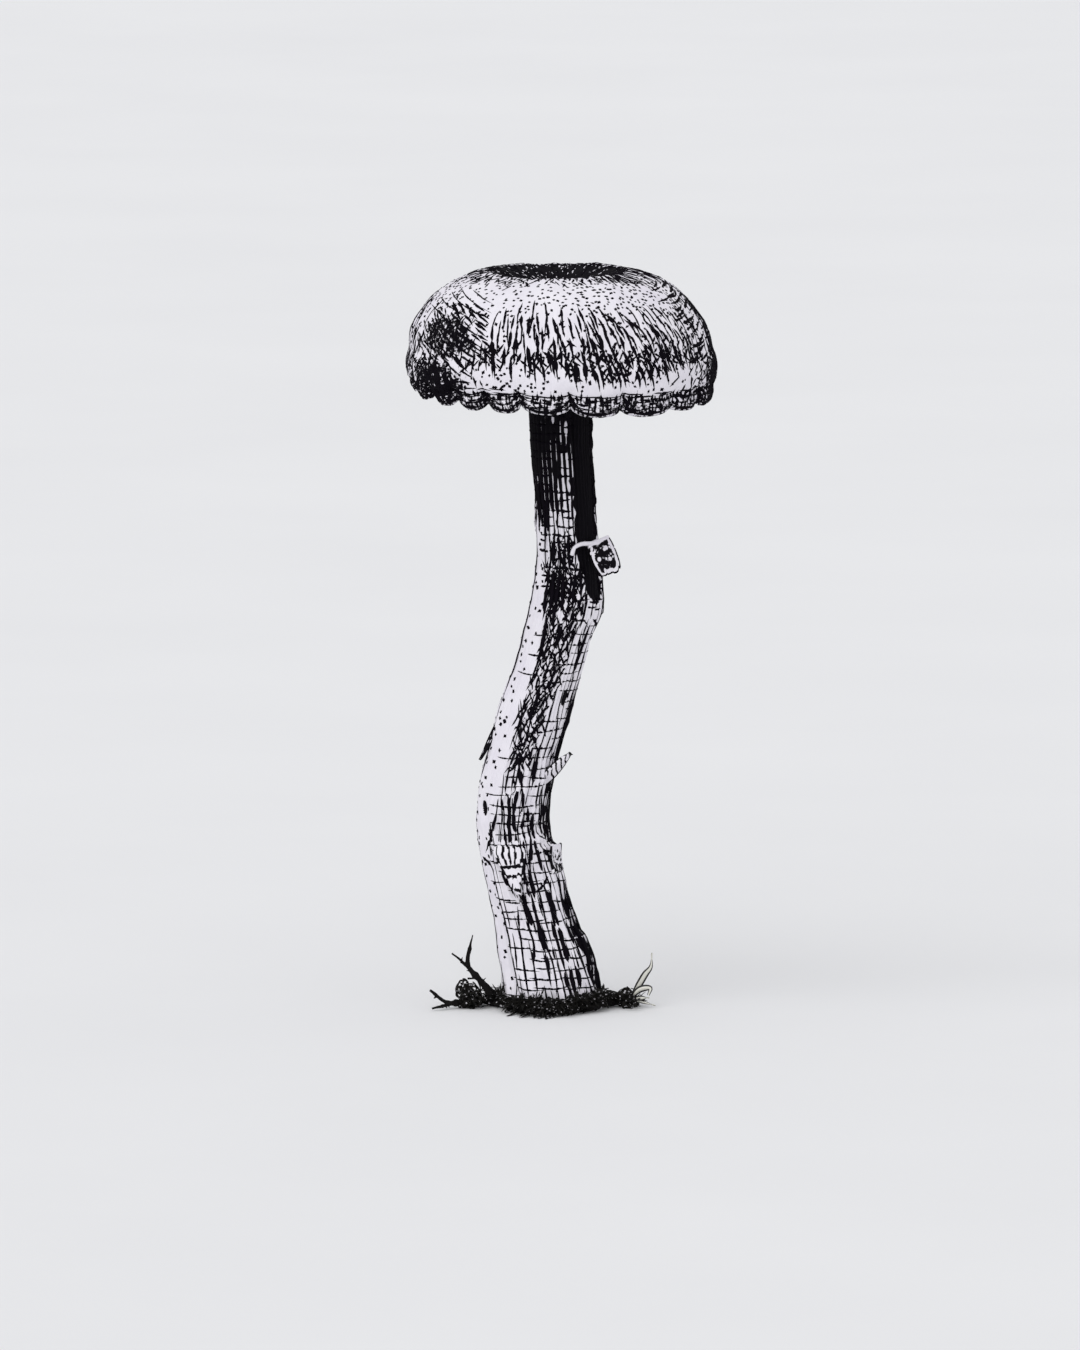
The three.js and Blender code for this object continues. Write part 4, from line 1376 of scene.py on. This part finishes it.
def build_moss():
    """A mat of short leaves round the foot, thickest in the fringe at the front."""
    rng = np.random.default_rng(61)
    heap = Heap()
    for i in range(MOSS_BLADES):
        front = i % 5 < 3
        turn = rng.normal(0, 42) if front else rng.uniform(-180, 180)
        share = rng.uniform(0.2, 0.8) if front else rng.uniform(0.1, 0.98)
        reach = 5.6 + (clod_reach(turn) - 5.6) * share
        root = out_from_foot(turn, reach, clod_top(turn, share) - 0.15)
        lean = turn + rng.normal(-34, 14) if front else turn + rng.normal(0, 40)
        heading = unit(out_from_foot(lean, 1.0, rng.uniform(0.05, 0.75)))
        length = rng.uniform(0.9, 1.5 if front else 2.3)
        moss_blade(heap, root, heading, length, rng.uniform(0.16, 0.27), rng)
    # The fringe lies on the ground in front and points to the front left.
    for tier, step, longest in FRINGE:
        for turn in np.arange(-66, 68, step):
            at = turn + rng.uniform(-1.3, 1.3)
            root = out_from_foot(at, clod_reach(at) - 0.2 - tier, 0.35 + 0.7 * tier)
            heading = unit(np.array([rng.normal(-0.5, 0.1), -1.0, -0.05]))
            length = longest * rng.uniform(0.75, 1.0) * (0.45 + 0.55 * hump(at, -10, 40))
            moss_blade(heap, root, heading, length, rng.uniform(0.28, 0.36), rng, 0.2)
    # Tufts climb the foot.
    for middle, count in TUFTS:
        for _ in range(count):
            at = middle + rng.normal(0, 9)
            root = out_from_foot(at, rng.uniform(6.0, 6.7), rng.uniform(1.2, 1.7))
            heading = unit(np.array([rng.normal(0.25, 0.35), 0.1, 1.0]))
            length = rng.uniform(0.9, 1.9)
            moss_blade(heap, root, heading, length, rng.uniform(0.16, 0.26), rng, 0.3)
    # Leaves stray over the litter at both sides.
    for side in (-1, 1):
        for _ in range(SIDE_LEAVES):
            turn = side * 93 + rng.normal(0, 9)
            reach = rng.uniform(7.6, 10.2)
            root = out_from_foot(turn, reach, rng.uniform(0.4, 1.4))
            heading = np.array([side * rng.uniform(0.2, 1), rng.normal(0, 0.5), rng.uniform(0.1, 1)])
            moss_blade(heap, root, unit(heading), rng.uniform(0.8, 1.6), 0.13, rng)
    return heap.make("moss_mat")


def build_litter(name, node, fibres, seed):
    """A knot of curled fibres and scraps of leaf that fills the box of its CAD lump."""
    low, high = box_mm(node)
    centre, half = (low + high) / 2, (high - low) / 2
    rng = np.random.default_rng(seed)
    heap = Heap()
    for _ in range(fibres):
        start = centre + rng.uniform(-1, 1, 3) * half * 0.8
        swing = rng.uniform(0, 2 * np.pi)
        bend = rng.uniform(1.5, 4.5) * rng.choice((-1, 1))
        size = rng.uniform(0.35, 0.9)
        turn = swing + bend * np.linspace(0, 1, 10)
        tilt = rng.normal(0, 0.6, 3)
        circle = np.stack([np.cos(turn), 0.6 * np.sin(turn) * tilt[0], np.sin(turn)], axis=1)
        line = start + size * circle + np.outer(np.linspace(-0.5, 0.5, 10), tilt)
        line[:, 2] = np.clip(line[:, 2], 0.12, high[2] + 0.5)
        heap.add_tube(line, np.linspace(0.17, 0.07, 10) * rng.uniform(0.7, 1.2), 5)
    for _ in range(fibres // 2):
        spot = centre + rng.uniform(-1, 1, 3) * half * np.array([0.9, 0.9, 0.7])
        heap.add(*lump_ball(np.maximum(spot, [-99, -99, 0.3]), rng.uniform(0.2, 0.5), rng))
    return heap.make(name)


def twig(heap, points, thick, thin, seed, barbs):
    """A tapering twig with uneven bark; each barb is its share along the twig and its direction."""
    rng = np.random.default_rng(seed)
    line = evenly(catmull(points, 60), 44)
    line = line + 0.05 * np.stack([noise(line, 0.7, seed + i) for i in range(3)], axis=1)
    share = np.linspace(0, 1, len(line))
    radii = thick + (thin - thick) * share**0.8
    knot = hump(share, rng.uniform(0.3, 0.6), 0.05)
    radii = radii * (1 + 0.22 * noise(line, 0.5, seed + 5) + 0.35 * knot)
    heap.add_tube(line, radii, 9)
    for at, direction in barbs:
        root = line[int(at * (len(line) - 1))]
        barb = root + np.outer(np.linspace(0, 1, 6), direction)
        heap.add_tube(barb, np.linspace(thin * 1.6, 0.03, 6), 6)


# Each twig's branches: line, radius at its root and at its tip, seed, and barbs as twig() takes them.
TWIGS = {
    "twig_low_bark": (
        (
            (
                (-9.4, -0.6, 0.9), (-10.8, -1.2, 0.75), (-12.1, -1.8, 0.7), (-13.0, -1.8, 1.15),
                (-14.4, -1.3, 2.2),
            ),
            0.44, 0.16, 71, ((0.55, (0.1, -0.2, -0.55)), (0.82, (-0.35, 0, -0.35))),
        ),
        (
            ((-11.6, -1.6, 0.72), (-12.6, -2.3, 0.55), (-14.1, -3.2, 0.32)),
            0.34, 0.12, 72, ((0.4, (0.15, -0.1, -0.35)),),
        ),
    ),
    "twig_high_bark": (
        (
            (
                (-7.2, -1.2, 1.7), (-8.2, -1.3, 3.0), (-9.3, -1.3, 4.2), (-10.0, -1.2, 5.0),
                (-11.8, -1.0, 6.5),
            ),
            0.55, 0.1, 73, (
                (0.3, (0.55, -0.2, 0.5)), (0.72, (-0.6, 0, 0.25)), (0.8, (0.1, 0, 0.5)),
                (0.55, (-0.6, 0, 0.1)),
            ),
        ),
        (
            ((-10.0, -1.2, 5.0), (-9.9, -1.15, 6.3), (-9.4, -0.95, 8.7)),
            0.38, 0.06, 74, ((0.45, (0.25, 0, 0.45)),),
        ),
    ),
}

# Each grass leaf's line, width and share of its width left at the tip.
GRASS = (
    (
        ((8.9, -0.5, 1.0), (9.7, -0.5, 2.0), (10.8, -0.6, 3.9), (11.5, -0.6, 4.9), (11.6, -0.6, 6.5)),
        0.85, 0.05,
    ),
    (((9.2, -0.6, 1.2), (10.2, -0.9, 2.2), (11.4, -1.1, 2.4), (11.2, -1.4, 1.6)), 0.8, 0.4),
    (((9.2, -0.6, 1.0), (10.3, -1.0, 1.2), (11.3, -1.3, 1.3)), 0.6, 0.05),
    (((9.0, -0.5, 0.8), (10.4, -0.9, 0.75), (12.0, -1.3, 0.35)), 0.4, 0.05),
)


def build_twig(name):
    """A forked twig at the left; both twigs start inside the left knot of litter."""
    heap = Heap()
    for branch in TWIGS[name]:
        twig(heap, *branch)
    return heap.make(name)


def grass_sheet(heap, points, width, tip, seed):
    """A folded blade along a line, widest a third of the way up."""
    line = evenly(catmull(points, 60), 34)
    share = np.linspace(0, 1, len(line))
    ahead = np.gradient(line, axis=0)
    side = np.cross(ahead, np.array([0.25, -1.0, 0.1]))
    side /= np.linalg.norm(side, axis=1, keepdims=True)
    half = width / 2 * (0.35 + 0.65 * ramp(share, 0, 0.35)) * (1 - ramp(share, 0.5, 1.0) * (1 - tip))
    across = np.linspace(-1, 1, 9)
    front = line[:, None] + side[:, None] * (half[:, None] * across)[..., None]
    front = front + FRONT * (0.3 * width * (1 - np.abs(across)))[None, :, None] * 0.6
    edge = np.broadcast_to(np.abs(across), front.shape[:2])
    length = np.repeat(share[:, None] * 6, len(across), axis=1)
    grain = np.stack([half[:, None] * across, np.full(edge.shape, seed), length], axis=-1)
    heap.add(*sheet_body(front, np.full(edge.shape, 0.1), {"edge": edge, "grain": grain}))


def build_grass():
    """A tall blade, a looped leaf and two low ones at the right."""
    heap = Heap()
    for seed, leaf in enumerate(GRASS, 1):
        grass_sheet(heap, *leaf, seed)
    return heap.make("grass_leaves")


# ---- User's values -------------------------------------------------------------------------------


def colour(name, description, default):
    return bpy.props.FloatVectorProperty(
        name=name, description=description, default=default, size=3, min=0, max=1, subtype="COLOR"
    )


def measure(name, description, default):
    return bpy.props.FloatProperty(name=name, description=description, default=default, unit="LENGTH")


class DeceiverShape(bpy.types.PropertyGroup):
    crown_depth: measure("Crown depth", "How far the middle of the cap sinks", 2.7 * MM)
    lobe_depth: measure("Lobe depth", "How far the margin is notched between lobes", 1.75 * MM)
    fibre_relief: measure("Fibre relief", "Depth of the grooves between the stem's fibres", 0.17 * MM)


class DeceiverColours(bpy.types.PropertyGroup):
    skin: colour("Skin", "Pale skin of the cap and stem", (0.83, 0.81, 0.85))
    skin_tint: colour("Skin tint", "Lilac cast in the hollows of the skin", (0.66, 0.62, 0.72))
    # The mark colour also paints shade on the cap and stem.
    mark: colour("Marks", "Dark violet fibres, dots and exposed flesh", (0.003, 0.0022, 0.004))
    gill: colour("Gills", "Violet gills", (0.30, 0.19, 0.40))
    soil: colour("Soil", "Damp soil, moss and twigs", (0.009, 0.008, 0.008))
    blade: colour("Blades", "Dry grass", (0.76, 0.75, 0.68))


class DeceiverStudio(bpy.types.PropertyGroup):
    view_height: measure("View height", "Height of the camera's view at the mushroom", 157.8 * MM)
    distance: measure("Camera distance", "From the camera to the mushroom", 1.5)
    elevation: bpy.props.FloatProperty(
        name="Elevation", description="Camera's angle above the horizon", default=math.radians(8),
        subtype="ANGLE",
    )


# ---- Operators -----------------------------------------------------------------------------------


FLOOR_HALF = 60000  # mm, so that the floor's far edge stays near the horizon
VIEW_CENTRE = (CAP_X - 2.5, 0, 39.3)
SENSOR_WIDTH = 36
SKY = (0.97, 0.98, 1.0, 1)
SKY_STRENGTH = 0.74
PAPER = (0.775, 0.775, 0.785, 1), (0.80, 0.80, 0.808, 1)
SUNS = {  # direction towards it, strength, width in degrees
    "key_light": ((-0.55, -0.85, 1.0), 1.2, 60),
    "fill_light": ((0.9, -0.8, 0.35), 0.22, 50),
}


class DECEIVER_OT_stage(bpy.types.Operator):
    """Make the pale floor, the soft light and the camera"""

    bl_idname = "deceiver.stage"
    bl_label = "Stage"

    def execute(self, context):
        studio = context.scene.deceiver_studio
        corners = np.array([(-1, -1, 0), (1, -1, 0), (1, 1, 0), (-1, 1, 0)], float)
        floor = make_mesh("floor", corners * FLOOR_HALF, [(0, 1, 2, 3)])
        g = Graph("floor_paper")
        grey = g.noise(g.place(14.0), detail=4)
        floor.data.materials.append(g.finish(g.mix(grey, *PAPER), 0.9, grey, 0.02))

        world = bpy.data.worlds.new("studio_air")
        world.use_nodes = True
        world.node_tree.nodes["Background"].inputs["Color"].default_value = SKY
        world.node_tree.nodes["Background"].inputs["Strength"].default_value = SKY_STRENGTH
        context.scene.world = world
        for name, values in SUNS.items():
            self.sun(name, *values)

        target = Vector(VIEW_CENTRE) * MM
        back = Vector((0, -math.cos(studio.elevation), math.sin(studio.elevation)))
        camera = bpy.data.objects.new("camera", bpy.data.cameras.new("camera"))
        camera.data.sensor_width = SENSOR_WIDTH
        camera.data.lens = SENSOR_WIDTH * studio.distance / studio.view_height
        camera.data.clip_end = 200  # metres
        camera.location = target + back * studio.distance
        camera.rotation_euler = (math.pi / 2 - studio.elevation, 0, 0)
        context.scene.collection.objects.link(camera)
        context.scene.camera = camera
        context.scene.view_settings.view_transform = "Standard"
        return {"FINISHED"}

    def sun(self, name, towards, energy, softness):
        light = bpy.data.objects.new(name, bpy.data.lights.new(name, "SUN"))
        light.data.energy = energy
        light.data.angle = math.radians(softness)
        light.rotation_euler = Vector(towards).to_track_quat("Z", "Y").to_euler()
        bpy.context.scene.collection.objects.link(light)


def skin_of(colours, name, fleck):
    """Felted skin in the user's colours, with pale flecks of a given size in its dark patches."""
    return felted_skin(name, colours.skin, colours.skin_tint, colours.mark, fleck)


class DECEIVER_OT_cap(bpy.types.Operator):
    """Make the cap with its sunken crown, streaked skin and lobed margin"""

    bl_idname = "deceiver.cap"
    bl_label = "Cap"

    def execute(self, context):
        shape, colours = context.scene.deceiver_shape, context.scene.deceiver_colours
        cap, fibres = build_cap(shape.crown_depth / MM, shape.lobe_depth / MM)
        settle(cap, skin_of(colours, "cap_felt", (0.72, 0.72, 0.72)), "cap_skin", "cap")
        settle(fibres, fibre_material("cap_fibre_dark", colours.mark), "cap_skin")
        return {"FINISHED"}


class DECEIVER_OT_gills(bpy.types.Operator):
    """Make the gills of three lengths under the cap"""

    bl_idname = "deceiver.gills"
    bl_label = "Gills"

    def execute(self, context):
        violet = context.scene.deceiver_colours.gill
        made = build_gills()
        material = gill_material("gill_plates_violet", violet, [c * 0.6 for c in violet])
        settle(made, material, "gill_flesh", "gills")
        return {"FINISHED"}


class DECEIVER_OT_stem(bpy.types.Operator):
    """Make the bent stem and the scales of skin that have torn away from it"""

    bl_idname = "deceiver.stem"
    bl_label = "Stem"

    def execute(self, context):
        shape, colours = context.scene.deceiver_shape, context.scene.deceiver_colours
        stem, fibres = build_stem(shape.fibre_relief / MM)
        settle(stem, skin_of(colours, "stem_felt", (0.62, 0.62, 2.6)), "stem_fibre", "stem")
        settle(fibres, fibre_material("stem_fibre_dark", colours.mark), "stem_fibre")
        torn = skin_of(colours, "torn_skin_dry", (0.5, 0.5, 0.6))
        sheets = {node: scale_sheet(**form) for node, form in SCALES.items()}
        sheets.update({node: flap_sheet(**form) for node, form in FLAPS.items()})
        for node, sheet in sheets.items():
            heap = Heap()
            heap.add(*sheet)
            if node == "torn_flap":
                add_lip(heap)
            settle(heap.make(node + "_skin"), torn, "torn_skin", node)
        return {"FINISHED"}


class DECEIVER_OT_ground(bpy.types.Operator):
    """Make the clod of soil with its moss, litter, twigs and grass"""

    bl_idname = "deceiver.ground"
    bl_label = "Clod and litter"

    def execute(self, context):
        colours = context.scene.deceiver_colours
        soil = np.array(colours.soil)
        grit = np.array(colours.skin) * 0.8
        earth = earth_material("soil_damp", soil * 0.7, soil * 1.5, grit, 0.6, 0.3)
        moss = earth_material("moss_dark", soil * 0.7, soil * np.array([1.5, 1.6, 1.3]), grit, 0.5, 0.42)
        bark = bark_material("twig_bark_dark", soil * 0.4, soil * 1.6)
        blade = blade_material("grass_dry", colours.blade, soil)
        for level in ("low", "high"):
            settle(build_twig(f"twig_{level}_bark"), bark, "twig_bark", "twig_" + level)
        settle(build_clod(), earth, "soil", "clod")
        settle(build_crumbs(), earth, "soil")
        settle(build_moss(), moss, "litter")
        for side, strands, seed in (("left", 70, 81), ("right", 46, 82)):
            knot = build_litter("litter_knot_" + side, "litter_" + side, strands, seed)
            settle(knot, moss, "litter", "litter_" + side)
        settle(build_grass(), blade, "grass", "grass_blades")
        return {"FINISHED"}


OPERATORS = (DECEIVER_OT_stage, DECEIVER_OT_cap, DECEIVER_OT_gills, DECEIVER_OT_stem, DECEIVER_OT_ground)


class DECEIVER_PT_sidebar(bpy.types.Panel):
    """The mushroom's values and pieces"""

    bl_label = "Amethyst deceiver"
    bl_idname = "DECEIVER_PT_sidebar"
    bl_space_type = "VIEW_3D"
    bl_region_type = "UI"
    bl_category = "Mushroom"

    def draw(self, context):
        for name in GROUPS:
            group = getattr(context.scene, name)
            box = self.layout.box()
            for key in group.bl_rna.properties.keys():
                if key not in ("rna_type", "name"):
                    box.prop(group, key)
        for operator in OPERATORS:
            self.layout.operator(operator.bl_idname)


GROUPS = {
    "deceiver_shape": DeceiverShape,
    "deceiver_colours": DeceiverColours,
    "deceiver_studio": DeceiverStudio,
}
CLASSES = (*GROUPS.values(), *OPERATORS, DECEIVER_PT_sidebar)


def register():
    for cls in CLASSES:
        bpy.utils.register_class(cls)
    for name, group in GROUPS.items():
        setattr(bpy.types.Scene, name, bpy.props.PointerProperty(type=group))


def unregister():
    for name in GROUPS:
        delattr(bpy.types.Scene, name)
    for cls in reversed(CLASSES):
        bpy.utils.unregister_class(cls)


def main():
    register()
    bpy.ops.deceiver.stage()
    bpy.ops.deceiver.cap()
    bpy.ops.deceiver.gills()
    bpy.ops.deceiver.stem()
    bpy.ops.deceiver.ground()


if __name__ == "__main__":
    main()
